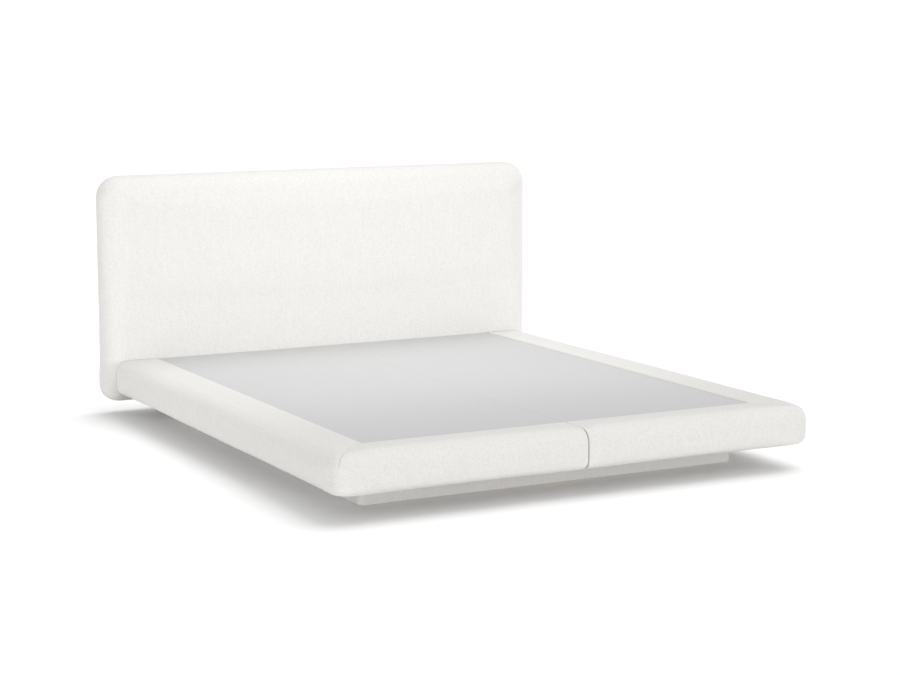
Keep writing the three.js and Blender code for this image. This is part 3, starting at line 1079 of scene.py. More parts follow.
@dataclass(frozen=True)
class BackCoverSizes:
    """The flat back cover's cloth, its folded edge and its stitches."""

    thickness: float = 0.0030
    corner: float = 0.010
    front_edge: float = 0.0015
    back_edge: float = 0.0012
    cell: float = 0.02
    fold: float = 0.012
    grid_insets: tuple[float, ...] = (0.004, 0.025)
    proud: float = 0.0016
    puff: float = 0.0012
    puff_reach: float = 0.03
    puff_ripple: Ripple = Ripple(5.0, 9.0, 1.0)
    cloth: float = 0.0011
    hem: float = 0.03
    stitch_inset: float = 0.006
    stitch_turn: float = 0.008
    stitch_pitch: float = 0.0085
    stitch_length: float = 0.0062
    stitch_width: float = 0.0012


@dataclass(frozen=True)
class Headboard:
    """The padded headboard: a rounded slab of foam on a timber frame, closed by a flat back cover.

    The fabric is pulled tighter round the low corners than round the high ones. The lower face, which the
    rim stands against, stays flat.
    """

    corner: float = 0.092
    front_edge: float = 0.080
    back_edge: float = 0.060
    cell: float = 0.018
    foam_depth: float = 0.020
    cover_depth: float = 0.002
    back_margin: float = 0.110
    slack: float = 0.0022
    low_tightness: float = 0.30
    low_reach: float = 0.10
    swelling: Inflation = Inflation(most=0.009)
    still_below: float = 0.24
    free_above: float = 0.66
    turned_over_from: float = 0.045
    turned_over_within: float = 0.03
    edge_hold: float = 0.65
    broad_ripple: Ripple = Ripple(2.6, 3.0, 0.0010)
    fine_ripple: Ripple = Ripple(9.0, 5.0, 0.0004)
    seam_dip: float = 0.0010
    seam_reach: float = 0.02
    back_sizes: BackCoverSizes = BackCoverSizes()

    @property
    def box(self) -> tuple[np.ndarray, np.ndarray]:
        """Returns the lowest and highest corner of the cover."""
        return box_of("headboard_cover")

    def slab(self) -> Slab:
        """Returns the slab's rounded shape.

        Returns:
            The slab.
        """
        low, high = self.box
        half = ((high[0] - low[0]) / 2.0, (high[2] - low[2]) / 2.0)
        return Slab(half, high[1] - low[1], self.corner, self.front_edge, self.back_edge, self.low_tightness,
                    self.low_reach)

    def to_bed(self, points: np.ndarray) -> np.ndarray:
        """Moves points from the slab's own axes into the bed's frame.

        Args:
            points: Points in the slab's own axes.

        Returns:
            The same points in the bed's frame.
        """
        low, high = self.box
        centre = (low + high) / 2.0
        return np.column_stack([points[:, 0] + centre[0], points[:, 2] + low[1], points[:, 1] + centre[2]])

    def face_at(self, x: np.ndarray, z: np.ndarray) -> np.ndarray:
        """Returns where the front face lies along Y at each x and z.

        Args:
            x: Places across the bed.
            z: Heights above the floor.

        Returns:
            The Y of the front face at each.
        """
        low, high = self.box
        share = self.slab().slack_at(z - (low[2] + high[2]) / 2.0)
        corner = self.corner * share
        over_x = np.maximum(np.abs(x) - high[0] + corner, 0.0)
        under_z = np.maximum(low[2] + corner - z, 0.0)
        inset = corner - np.hypot(over_x, under_z)
        return low[1] + rolled_depth(np.maximum(inset, 0.0), self.front_edge * share)

    def upholstery(self, finishes: Finishes) -> bpy.types.Object:
        """Returns the front pad with its fabric turned over onto the back.

        Args:
            finishes: The bed's finishes.

        Returns:
            The piece.
        """
        low, _ = self.box
        points, faces, outward = self.slab().shell(self.cell, self.back_margin)
        base, direction = self.to_bed(points), self.to_bed(outward) - self.to_bed(np.zeros_like(outward))
        faces = facing_out(base, faces, direction)
        behind = smooth_step((base[:, 1] - low[1] - self.turned_over_from) / self.turned_over_within)
        depth = self.foam_depth + (self.cover_depth - self.foam_depth) * behind
        inner = base - direction * depth[:, None]
        start = base - direction * (self.slack * (1.0 - behind))[:, None]
        lower = smooth_step((self.free_above - base[:, 2]) / (self.free_above - self.still_below))
        start[:, 1] = start[:, 1] * (1.0 - lower) + base[:, 1] * lower
        rolled = smooth_step((base[:, 1] - low[1]) / self.front_edge) * self.edge_hold
        hold = np.maximum.reduce([behind, lower, rolled])
        swollen = self.swelling.swell(Skin(start, inner, faces), hold)
        ripple = self.broad_ripple.at(base) + self.fine_ripple.at(base)
        swollen += direction * (ripple * (1.0 - np.maximum(behind, lower)))[:, None]
        swollen -= direction * self.back_seam_depth(base)[:, None]
        piece = new_object("headboard_upholstery", Skin(swollen, inner, faces).mesh("headboard_upholstery"))
        subdivide(piece)
        finish_piece(piece, finishes.boucle)
        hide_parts("headboard_cover", "headboard_foam")
        return piece

    def back_seam_depth(self, points: np.ndarray) -> np.ndarray:
        """Returns how far the fabric dips where the back cover is sewn over it.

        Args:
            points: Points on the headboard.

        Returns:
            A depth for each point.
        """
        low, high = self.box
        inside = np.minimum.reduce([high[0] - np.abs(points[:, 0]), points[:, 2] - low[2],
                                    high[2] - points[:, 2]]) - self.back_margin
        on_back = points[:, 1] > high[1] - 1e-4
        return np.where(on_back, self.seam_dip * smooth_step(1.0 + inside / self.seam_reach), 0.0)

    def back_cover(self, finishes: Finishes) -> bpy.types.Object:
        """Returns the flat back cover with its folded edge.

        Args:
            finishes: The bed's finishes.

        Returns:
            The piece.
        """
        low, high = box_of("headboard_back_cover")
        centre = (low + high) / 2.0
        half = ((high[0] - low[0]) / 2.0, (high[2] - low[2]) / 2.0)
        sizes = self.back_sizes
        slab = Slab(half, sizes.thickness, sizes.corner, sizes.front_edge, sizes.back_edge)
        points, faces, _ = slab.shell(sizes.cell, sizes.fold, extra=sizes.grid_insets)
        puff = (smooth_step((half[0] - np.abs(points[:, 0])) / sizes.puff_reach)
                * smooth_step((half[1] - np.abs(points[:, 1])) / sizes.puff_reach))
        back = high[1] + sizes.proud
        row = np.column_stack([points[:, 0] + centre[0], back - points[:, 2], points[:, 1] + centre[2]])
        row[:, 1] -= puff * sizes.puff * (1.0 + sizes.puff_ripple.at(row))
        outward = np.zeros_like(row)
        outward[:, 1] = np.where(points[:, 2] < sizes.front_edge / 3.0, 1.0, 0.0)
        faces = facing_out(row, faces, outward)
        inner = row - point_normals(row, faces) * sizes.cloth
        piece = new_object("back_cover", Skin(row, inner, faces).mesh("back_cover"))
        subdivide(piece)
        finish_piece(piece, finishes.boucle)
        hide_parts("headboard_back_cover")
        return piece

    def back_stitches(self, finishes: Finishes) -> bpy.types.Object:
        """Returns the row of stitches that holds the back cover.

        Args:
            finishes: The bed's finishes.

        Returns:
            The piece.
        """
        low, high = box_of("headboard_back_cover")
        sizes = self.back_sizes
        turn = sizes.stitch_turn
        path = []
        for sign_x, sign_z, start in ((1, 1, 0.0), (-1, 1, 90.0), (-1, -1, 180.0), (1, -1, 270.0)):
            middle_x = (high[0] if sign_x > 0 else low[0]) - sign_x * (sizes.stitch_inset + turn)
            middle_z = (high[2] if sign_z > 0 else low[2]) - sign_z * (sizes.stitch_inset + turn)
            for angle in np.radians(start + ticks(0.0, 90.0, 15.0)):
                path.append((middle_x + turn * math.cos(angle), high[1] + sizes.proud,
                             middle_z + turn * math.sin(angle)))
        path.append(path[0])
        row = BeadRow(Bead.STITCH, sizes.stitch_pitch, sizes.stitch_length, sizes.stitch_width)
        piece = row.along("back_cover_stitches", [np.array(path)], finishes.boucle)
        finish_piece(piece, finishes.boucle)
        return piece

    def dress_frame(self, finishes: Finishes) -> None:
        """Gives the frame inside its wood and steel.

        Args:
            finishes: The bed's finishes.
        """
        for rail in ("headboard_bottom_rail", "headboard_top_rail", "left_headboard_spacer",
                     "right_headboard_spacer"):
            dress(rail, finishes.timber[Axis.X])
        for stile in ("headboard_left_stile", "headboard_right_stile", "headboard_middle_stile"):
            dress(stile, finishes.timber[Axis.Z])
        dress("headboard_front_panel", finishes.plywood[Axis.X])
        for bolt in ("left_headboard_bolt", "right_headboard_bolt"):
            dress(bolt, finishes.steel)

    def build(self, finishes: Finishes) -> None:
        """Makes the upholstery and dresses the frame.

        Args:
            finishes: The bed's finishes.
        """
        self.upholstery(finishes)
        self.back_cover(finishes)
        self.back_stitches(finishes)
        self.dress_frame(finishes)


def dress(node: str, material: bpy.types.Material) -> None:
    """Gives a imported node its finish.

    Args:
        node: The node's name.
        material: Its finish.
    """
    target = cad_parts[node]
    target.data.materials.clear()
    target.data.materials.append(material)
    log.info("%s: %s", node, material.name)


# ------------------------------------------------------------------------------------ rim


@dataclass(frozen=True)
class RimPlan:
    """The right half of the rim seen from above: its curves at any inset from the outer face."""

    outer_x: float
    foot_y: float
    inner_x: float
    inner_y: float
    head_y: float
    corner: float = 0.080
    tightest_bend: float = 0.007

    @property
    def centre(self) -> np.ndarray:
        """Returns the middle of the outer corner's arc."""
        return np.array([self.outer_x - self.corner, self.foot_y + self.corner])

    def mitre_end(self, inset: float, along_side: bool) -> np.ndarray:
        """Returns where the curve at an inset meets the mitre.

        Args:
            inset: Distance in from the outer face.
            along_side: True for the side's curve, False for the foot's.

        Returns:
            The point in plan.
        """
        inner = np.array([self.inner_x, self.inner_y])
        run = np.array([self.outer_x, self.foot_y]) - inner
        unit = run / np.linalg.norm(run)
        to_centre = self.centre - inner
        nearest = inner + unit * float(unit @ to_centre)
        miss = float(np.linalg.norm(self.centre - nearest))
        radius = self.corner - inset
        if radius > miss + 0.001:
            return nearest + unit * math.sqrt(radius * radius - miss * miss)
        if along_side:
            share = (self.outer_x - inset - self.inner_x) / run[0]
        else:
            share = (self.foot_y + inset - self.inner_y) / run[1]
        return inner + run * share

    def curve(self, inset: float, shares: np.ndarray, head: float,
              along_side: bool) -> tuple[np.ndarray, np.ndarray]:
        """Places points along the curve at an inset.

        Args:
            inset: Distance in from the outer face.
            shares: Places along the curve, from 0 at its square end to 1 at the mitre.
            head: Where the square end is: a Y for the side's curve, an X for the foot's.
            along_side: True for the side's curve, False for the foot's.

        Returns:
            The points in plan, and each one's distance along the curve.
        """
        end = self.mitre_end(inset, along_side)
        radius = self.corner - inset
        bends = radius > self.tightest_bend
        if along_side:
            straight = head - (self.centre[1] if bends else end[1])
        else:
            straight = (self.centre[0] if bends else end[0]) - head
        turn = 0.0
        if bends:
            way = end - self.centre
            angle = math.atan2(way[1], way[0])
            turn = -angle if along_side else angle + math.pi / 2.0
        length = straight + max(radius, 0.0) * turn
        far = shares * length
        run = np.minimum(far, straight) if bends else far
        bent = far - run
        sweep = bent / max(radius, 1e-6)
        if along_side:
            x = np.where(bent > 0.0, self.centre[0] + radius * np.cos(sweep), self.outer_x - inset)
            y = np.where(bent > 0.0, self.centre[1] - radius * np.sin(sweep), head - run)
        else:
            x = np.where(bent > 0.0, self.centre[0] + radius * np.sin(sweep), head + run)
            y = np.where(bent > 0.0, self.centre[1] - radius * np.cos(sweep), self.foot_y + inset)
        return np.column_stack([x, y]), far


@dataclass(frozen=True)
class RimSection:
    """The rim's cross-section, from its hem beside the deck over the top and round to the underside.

    A step is the distance between two points. A reach says where a change in shape begins, and a taper or
    fade says how far it takes.
    """

    bottom: float
    top: float
    hem: float
    top_edge: float = 0.055
    bottom_edge: float = 0.038
    inner_edge: float = 0.010
    inner_step: float = 0.009
    top_step: float = 0.0134
    face_step: float = 0.013
    under_step: float = 0.016
    flush: float = 0.0006
    crease: float = 0.0064
    crease_fade: float = 0.025
    crease_reach: float = 0.035
    crease_taper: float = 0.045
    joint_flush: float = 0.0008
    joint_open: float = 0.0050
    joint_low: float = 0.0090
    joint_reach: float = 0.005
    joint_taper: float = 0.025
    low_reach: float = 0.034
    low_taper: float = 0.030
    deck_lip: float = 0.05
    deck_lip_taper: float = 0.02
    deck_side_reach: float = 0.016
    deck_side_taper: float = 0.010
    gap_flush: float = 0.0002
    gap_face: float = 0.0008
    gap_notch: float = 0.0018
    gap_taper: float = 0.030
    notch_reach: float = 0.014
    notch_taper: float = 0.010

    def rows(self, width: float) -> np.ndarray:
        """Returns the section's points for a rim of this width.

        Args:
            width: From the deck opening to the outer face.

        Returns:
            One row each: inset from the outer face, and height.
        """
        rows = []

        def arc(middle: tuple[float, float], radius: float, start: float, end: float, count: int) -> None:
            """Adds an arc's points, without its first."""
            for angle in np.radians(np.linspace(start, end, count + 1)[1:]):
                rows.append((middle[0] + radius * math.cos(angle), middle[1] + radius * math.sin(angle)))

        roll = self.inner_edge
        for height in ticks(self.hem, self.top - roll, self.inner_step):
            rows.append((width, height))
        arc((width - roll, self.top - roll), roll, 0.0, 90.0, 4)
        flat = ticks(width - roll, self.top_edge, self.top_step)
        rows.extend((inset, self.top) for inset in flat[1:])
        arc((self.top_edge, self.top - self.top_edge), self.top_edge, 90.0, 180.0, 8)
        for height in ticks(self.top - self.top_edge, self.bottom + self.bottom_edge, self.face_step)[1:]:
            rows.append((0.0, height))
        arc((self.bottom_edge, self.bottom + self.bottom_edge), self.bottom_edge, 180.0, 270.0, 7)
        under = ticks(self.bottom_edge, width - 0.006, self.under_step)
        rows.extend((inset, self.bottom) for inset in under[1:])
        rows.append((width - 0.001, self.bottom + 0.003))
        return np.array(rows)

    def mitre_roll(self, rows: np.ndarray) -> np.ndarray:
        """Returns each row's roll at the mitre: a crease over the top edge, and flush elsewhere.

        Args:
            rows: The section's points.

        Returns:
            A radius for each row.
        """
        inset, height = rows[:, 0], rows[:, 1]
        over_face = smooth_step((height - self.top + self.top_edge) / self.crease_fade)
        over_top = smooth_step((self.top_edge + self.crease_reach - inset) / self.crease_taper)
        return self.flush + self.crease * over_face * over_top

    def joint_roll(self, rows: np.ndarray) -> np.ndarray:
        """Returns each row's roll at the joint in the foot: open down the face, and flush on the top.

        Args:
            rows: The section's points.

        Returns:
            A radius for each row.
        """
        inset, height = rows[:, 0], rows[:, 1]
        width = np.max(inset)
        on_face = smooth_step((self.top_edge + self.joint_reach - inset) / self.joint_taper)
        below = smooth_step((self.bottom + self.low_reach - height) / self.low_taper)
        over_lip = smooth_step((height - self.bottom - self.deck_lip) / self.deck_lip_taper)
        beside_deck = over_lip * (inset > 0.5 * width)
        inner = beside_deck * smooth_step((inset - width + self.deck_side_reach) / self.deck_side_taper)
        opened = self.joint_open * np.maximum(on_face, inner)
        return self.joint_flush + opened + self.joint_low * on_face * below

    def joint_gap(self, rows: np.ndarray) -> np.ndarray:
        """Returns how far each row of the foot stops short of the bed's middle.

        Args:
            rows: The section's points.

        Returns:
            A gap for each row.
        """
        inset, height = rows[:, 0], rows[:, 1]
        on_face = smooth_step((self.top_edge - inset) / self.gap_taper)
        at_deck = smooth_step((inset - np.max(inset) + self.notch_reach) / self.notch_taper)
        notch = at_deck * (height > self.hem)
        return self.gap_flush + self.gap_face * on_face + self.gap_notch * notch


@dataclass(frozen=True)
class RimHalf:
    """One half of the rim: a side pad and a foot pad that meet in a mitre seam.

    The overlap is how far each pad runs past its mitre, so that the seam is closed. A hold of 1 keeps the
    fabric still while the foam swells, and a hold of 0 lets it go.
    """

    side: Side
    headboard: Headboard
    hem_drop: float = 0.028
    foam_depth: float = 0.013
    cover_depth: float = 0.0018
    slack: float = 0.0035
    overlap: float = 0.0012
    swelling: Inflation = Inflation(most=0.0055)
    square_roll: float = 0.0018
    headboard_gap: float = 0.0008
    past_headboard: float = 0.015
    deck_lip: float = 0.05
    deck_side_reach: float = 0.022
    deck_side_taper: float = 0.020
    under_lip: float = 0.004
    lip_height: float = 0.01
    lip_width: float = 0.03
    end_reach: float = 0.05
    end_hold: float = 0.6
    hard_below: float = 0.012
    soft_share: float = 0.6
    uneven_reach: float = 0.03
    uneven_depth: float = 0.006
    deepest_roll: float = 0.75
    column_insets: tuple[float, ...] = (0.0, 0.0012, 0.003, 0.0055, 0.009, 0.014, 0.021)
    column_step: float = 0.0145
    staple_inset: float = 0.012
    staple_pitch: float = 0.042
    staple_length: float = 0.010
    staple_wire: float = 0.0011
    staple_sink: float = 0.0004
    staple_margin: float = 0.03
    staple_corner: float = 0.01
    broad_ripple: Ripple = Ripple(4.0, 11.0, 0.0010)
    fine_ripple: Ripple = Ripple(16.0, 17.0, 0.0005)

    def plan(self) -> RimPlan:
        """Returns the half's plan, drawn on the right.

        Returns:
            The plan.
        """
        low, high = box_of("left_side_cover", "right_side_cover", "left_foot_cover", "right_foot_cover")
        inner_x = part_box("right_side_cover")[0].x
        inner_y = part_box("right_foot_cover")[1].y
        return RimPlan(high[0], low[1], inner_x, inner_y, high[1])

    def section(self) -> RimSection:
        """Returns the rim's cross-section."""
        low, high = box_of("right_side_cover")
        return RimSection(low[2], high[2], high[2] - self.hem_drop)

    def columns(self, length: float) -> np.ndarray:
        """Returns shares along a pad, close together at its seams, to just past its mitre.

        Args:
            length: The pad's length.

        Returns:
            Places from 0 at the square end to just past 1 at the mitre.
        """
        fine = np.array(self.column_insets)
        end = length + self.overlap - fine[::-1]
        middle = ticks(fine[-1], end[0], self.column_step)
        return np.concatenate([fine[:-1], middle, end[1:]]) / length

    def pad(self, name: str, along_side: bool, finishes: Finishes) -> bpy.types.Object:
        """Makes one padded piece of the rim.

        Args:
            name: The piece's name.
            along_side: True for the side pad, False for the foot pad.
            finishes: The bed's finishes.

        Returns:
            The piece.
        """
        plan, section = self.plan(), self.section()
        width = plan.outer_x - plan.inner_x if along_side else plan.inner_y - plan.foot_y
        profile = section.rows(width)
        length = plan.head_y - plan.foot_y if along_side else plan.outer_x
        shares = self.columns(length)
        gaps = section.joint_gap(profile)
        rows, ends = [], []
        for (inset, height), gap in zip(profile, gaps):
            if along_side:
                face = float(self.headboard.face_at(np.array([plan.outer_x - inset]), np.array([height]))[0])
                head = min(face - self.headboard_gap, plan.head_y + self.past_headboard)
            else:
                head = gap
            way, far = plan.curve(inset, shares, head, along_side)
            rows.append(np.column_stack([way, np.full(len(way), height)]))
            ends.append(np.minimum(far, far[-1] - far))
        base = np.concatenate(rows)
        base[:, 0] *= self.side.value
        from_end = np.array(ends)
        count_rows, count_columns = from_end.shape
        faces = grid_faces(count_rows, count_columns)
        upward = np.zeros_like(base)
        upward[:, 2] = np.where(base[:, 2] > section.top - 1e-5, 1.0, 0.0)
        faces = facing_out(base, faces, upward)
        outward = point_normals(base, faces)
        inset = np.repeat(profile[:, 0], count_columns)
        height = np.repeat(profile[:, 1], count_columns)
        beside_deck = smooth_step((inset - width + self.deck_side_reach) / self.deck_side_taper)
        above = height > section.bottom + self.deck_lip
        thin = np.where(above, beside_deck, 0.0)
        depth = self.foam_depth + (self.cover_depth - self.foam_depth) * thin
        depth = np.where((inset > width - self.under_lip) & ~above, self.cover_depth, depth)
        inner = base - outward * depth[:, None]
        hold = self.hold(from_end.ravel(), thin, inset, height, width, section)
        start = base - outward * (self.slack * (1.0 - thin))[:, None]
        start = self.swelling.swell(Skin(start, inner, faces), hold)
        start = self.settle(start, base, outward, from_end, profile, section, depth, along_side)
        piece = new_object(name, Skin(start, inner, faces).mesh(name))
        subdivide(piece)
        finish_piece(piece, finishes.boucle)
        return piece

    def hold(self, from_end: np.ndarray, thin: np.ndarray, inset: np.ndarray, height: np.ndarray,
             width: float, section: RimSection) -> np.ndarray:
        """Returns how firmly each point is held, from 0 for free to 1 for fixed.

        Args:
            from_end: Distance from the nearer end of the pad.
            thin: From 0 for full foam to 1 for cloth on hard board.
            inset: Distance in from the outer face.
            height: Height above the floor.
            width: The rim's width.
            section: The rim's section.

        Returns:
            A hold for each point.
        """
        at_ends = 1.0 - smooth_step(from_end / self.end_reach)
        under_lip = (height < section.bottom + self.lip_height) & (inset > width - self.lip_width)
        lip = np.where(under_lip, 1.0, 0.0)
        hard_inner = np.where(height < section.top - self.hard_below, thin, thin * self.soft_share)
        return np.maximum.reduce([at_ends * self.end_hold, lip, hard_inner])

    def settle(self, points: np.ndarray, base: np.ndarray, outward: np.ndarray, from_end: np.ndarray,
               profile: np.ndarray, section: RimSection, depth: np.ndarray, along_side: bool) -> np.ndarray:
        """Rolls the pad's ends in at its seams and gives its surface a hand-made unevenness.

        Args:
            points: The swollen points.
            base: The points of the plain shape.
            outward: Outward directions.
            from_end: Distance from the nearer end of the pad.
            profile: The section's rows.
            section: The rim's section.
            depth: How thick the pad is at each point.
            along_side: True for the side pad.

        Returns:
            The settled points.
        """
        columns = from_end.shape[1]
        mitre = section.mitre_roll(profile)
        square = np.full(len(profile), self.square_roll) if along_side else section.joint_roll(profile)
        near_mitre = np.arange(columns)[None, :] > columns // 2
        reach = np.where(near_mitre, mitre[:, None], square[:, None]).ravel()
        rolled = rolled_depth(from_end.ravel(), reach)
        rolled = np.minimum(rolled, depth * self.deepest_roll)
        uneven = self.broad_ripple.at(base) + self.fine_ripple.at(base)
        free = smooth_step(from_end.ravel() / self.uneven_reach) * (depth > self.uneven_depth)
        return points + outward * (uneven * free - rolled)[:, None]

    def dress_boards(self, finishes: Finishes) -> None:
        """Gives the boards inside this half their wood.

        Args:
            finishes: The bed's finishes.
        """
        word = self.side.word
        for node in ("side_outer_apron", "side_inner_apron", "centre_beam"):
            dress(f"{word}_{node}", finishes.timber[Axis.Y])
        for node in ("foot_outer_apron", "foot_inner_apron", "head_rail", "front_joist", "rear_joist"):
            dress(f"{word}_{node}", finishes.timber[Axis.X])
        dress(f"{word}_side_top_board", finishes.plywood[Axis.Y])
        dress(f"{word}_foot_top_board", finishes.plywood[Axis.X])

    def staples(self, finishes: Finishes) -> bpy.types.Object:
        """Returns the staples that hold the cover's edge under the rim.

        Args:
            finishes: The bed's finishes.

        Returns:
            The piece.
        """
        plan, section = self.plan(), self.section()
        shift, under = self.staple_inset, section.bottom - self.staple_sink
        margin, corner = self.staple_margin, self.staple_corner
        sign = self.side.value
        side_path = np.array([(sign * (plan.inner_x + shift), y, under)
                              for y in (plan.head_y - margin, plan.inner_y + corner)])
        foot_path = np.array([(sign * x, plan.inner_y - shift, under)
                              for x in (margin, plan.inner_x - corner)])
        row = BeadRow(Bead.STAPLE, self.staple_pitch, self.staple_length, self.staple_wire)
        piece = row.along(f"{self.side.word}_rim_staples", [side_path, foot_path], finishes.steel)
        finish_piece(piece, finishes.steel)
        return piece

    def build(self, finishes: Finishes) -> None:
        """Makes both pads, the staples and the boards' finish.

        Args:
            finishes: The bed's finishes.
        """
        word = self.side.word
        side_pad = self.pad(f"{word}_side_upholstery", True, finishes)
        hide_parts(f"{word}_side_cover", f"{word}_side_foam")
        foot_pad = self.pad(f"{word}_foot_upholstery", False, finishes)
        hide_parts(f"{word}_foot_cover", f"{word}_foot_foam")
        self.staples(finishes)
        self.dress_boards(finishes)


# ------------------------------------------------------------------------------------ deck


@dataclass(frozen=True)
class DeckPanel:
    """One half of the deck: a board wrapped in grey cloth."""

    side: Side
    joint: float = 0.0001
    edge: float = 0.0006
    corner: float = 0.004
    cloth: float = 0.0016
    cell: float = 0.022
    ripple: Ripple = Ripple(3.0, 21.0, 0.0004)
    lower_edge: float = 0.0008
    grid_insets: tuple[float, ...] = (0.012, 0.03)

    def cover(self, finishes: Finishes) -> bpy.types.Object:
        """Returns the cloth over the board's top and edges.

        Args:
            finishes: The bed's finishes.

        Returns:
            The piece.
        """
        name = f"{self.side.word}_deck_cover"
        low, high = box_of(name)
        if self.side is Side.LEFT:
            high[0] = -self.joint
        else:
            low[0] = self.joint
        centre = (low + high) / 2.0
        half = ((high[0] - low[0]) / 2.0, (high[1] - low[1]) / 2.0)
        thickness = high[2] - low[2]
        slab = Slab(half, thickness, self.corner, self.edge, self.lower_edge)
        points, faces, direction = slab.shell(self.cell, 0.0, extra=self.grid_insets)
        keep = points[faces][:, :, 2].max(axis=1) < thickness - 0.0001
        row = np.column_stack([points[:, 0] + centre[0], points[:, 1] + centre[1], high[2] - points[:, 2]])
        outward = np.column_stack([direction[:, 0], direction[:, 1], -direction[:, 2]])
        faces = facing_out(row, faces, outward)[keep]
        used = np.unique(faces)
        renumber = np.zeros(len(row), int)
        renumber[used] = np.arange(len(used))
        row, outward, faces = row[used], outward[used], renumber[faces]
        row[:, 2] += self.ripple.at(row) * (outward[:, 2] > 0.9)
        inner = row - outward * self.cloth
        piece = new_object(f"{self.side.word}_deck_cloth", Skin(row, inner, faces).mesh(name))
        subdivide(piece)
        finish_piece(piece, finishes.deck)
        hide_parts(name)
        return piece

    def build(self, finishes: Finishes) -> None:
        """Makes the cover and dresses the board."""
        self.cover(finishes)
        dress(f"{self.side.word}_deck_board", finishes.plywood[Axis.Y])


# ------------------------------------------------------------------------------------ plinth and supports


@dataclass(frozen=True)
class Plinth:
    """The fabric-wrapped plinth under the platform."""

    corner: float = 0.025
    cloth: float = 0.0019
    cell: float = 0.012
    floor_gap: float = 0.0008
    proud: float = 0.0003
    ripple: Ripple = Ripple(26.0, 31.0, 0.0005)
    pull_stretch: float = 0.35
    pull_reach: float = 0.02
    hem: float = 0.004
    row_step: float = 0.011

    def outline(self, low: np.ndarray, high: np.ndarray, sign: int) -> np.ndarray:
        """Returns the plan line of an end cover, round both of its corners.

        Args:
            low: The cover's lowest corner.
            high: Its highest corner.
            sign: -1 for the cover at the foot, 1 for the one at the head.

        Returns:
            Plan points from the left end to the right end.
        """
        face = low[1] if sign < 0 else high[1]
        end = high[1] if sign < 0 else low[1]
        inner = face - sign * self.corner
        points = [(low[0], y) for y in ticks(end, inner, 0.004)]
        for angle in np.radians(ticks(0.0, 90.0, 9.0)[1:]):
            points.append((low[0] + self.corner * (1.0 - math.cos(angle)),
                           inner + sign * self.corner * math.sin(angle)))
        straight = ticks(low[0] + self.corner, high[0] - self.corner, self.cell)
        points.extend((x, face) for x in straight[1:-1])
        bend_end = low[0] + self.corner + 1e-9
        mirrored = [(low[0] + high[0] - x, y) for x, y in reversed(points) if x <= bend_end]
        return np.array(points + mirrored)

    def wrap(self, name: str, line: np.ndarray, low: float, high: float, outside: np.ndarray,
             finishes: Finishes) -> bpy.types.Object:
        """Makes a cover that stands on a plan line.

        Args:
            name: The CAD cover that this piece stands for.
            line: Plan points.
            low: Height of its bottom edge.
            high: Height of its top edge.
            outside: A plan direction that points out of the plinth at the line's middle.
            finishes: The bed's finishes.

        Returns:
            The piece.
        """
        heights = joined_ticks([low, low + self.hem, high], self.row_step)
        rows = [np.column_stack([line, np.full(len(line), height)]) for height in heights]
        points = np.concatenate(rows)
        faces = grid_faces(len(heights), len(line))
        outward = np.tile(np.array([outside[0], outside[1], 0.0]), (len(points), 1))
        faces = facing_out(points, faces, outward)
        normals = point_normals(points, faces)
        inner = points - normals * self.cloth
        free = smooth_step((points[:, 2] - low) / self.pull_reach)
        pulls = self.ripple.at(points * (1.0, 1.0, self.pull_stretch)) * free
        points = points + normals * (pulls + self.proud)[:, None]
        piece = new_object(name.replace("_cover", "_cloth"), Skin(points, inner, faces).mesh(name))
        subdivide(piece)
        finish_piece(piece, finishes.boucle)
        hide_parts(name)
        return piece

    def build(self, finishes: Finishes) -> None:
        """Makes the four covers and dresses the boards and glides.

        Args:
            finishes: The bed's finishes.
        """
        for name, sign in (("plinth_front_cover", -1), ("plinth_rear_cover", 1)):
            low, high = box_of(name)
            self.wrap(name, self.outline(low, high, sign), self.floor_gap, high[2], np.array([0.0, sign]),
                      finishes)
            dress(name.replace("_cover", "_board"), finishes.plywood[Axis.X])
        for side in Side:
            name = f"plinth_{side.word}_cover"
            low, high = box_of(name)
            x = low[0] if side is Side.LEFT else high[0]
            line = np.array([(x, y) for y in ticks(low[1], high[1], self.cell)])
            self.wrap(name, line, self.floor_gap, high[2], np.array([side.value, 0.0]), finishes)
            dress(name.replace("_cover", "_board"), finishes.plywood[Axis.Y])
            dress(f"{side.word}_glide_strip", finishes.plastic)


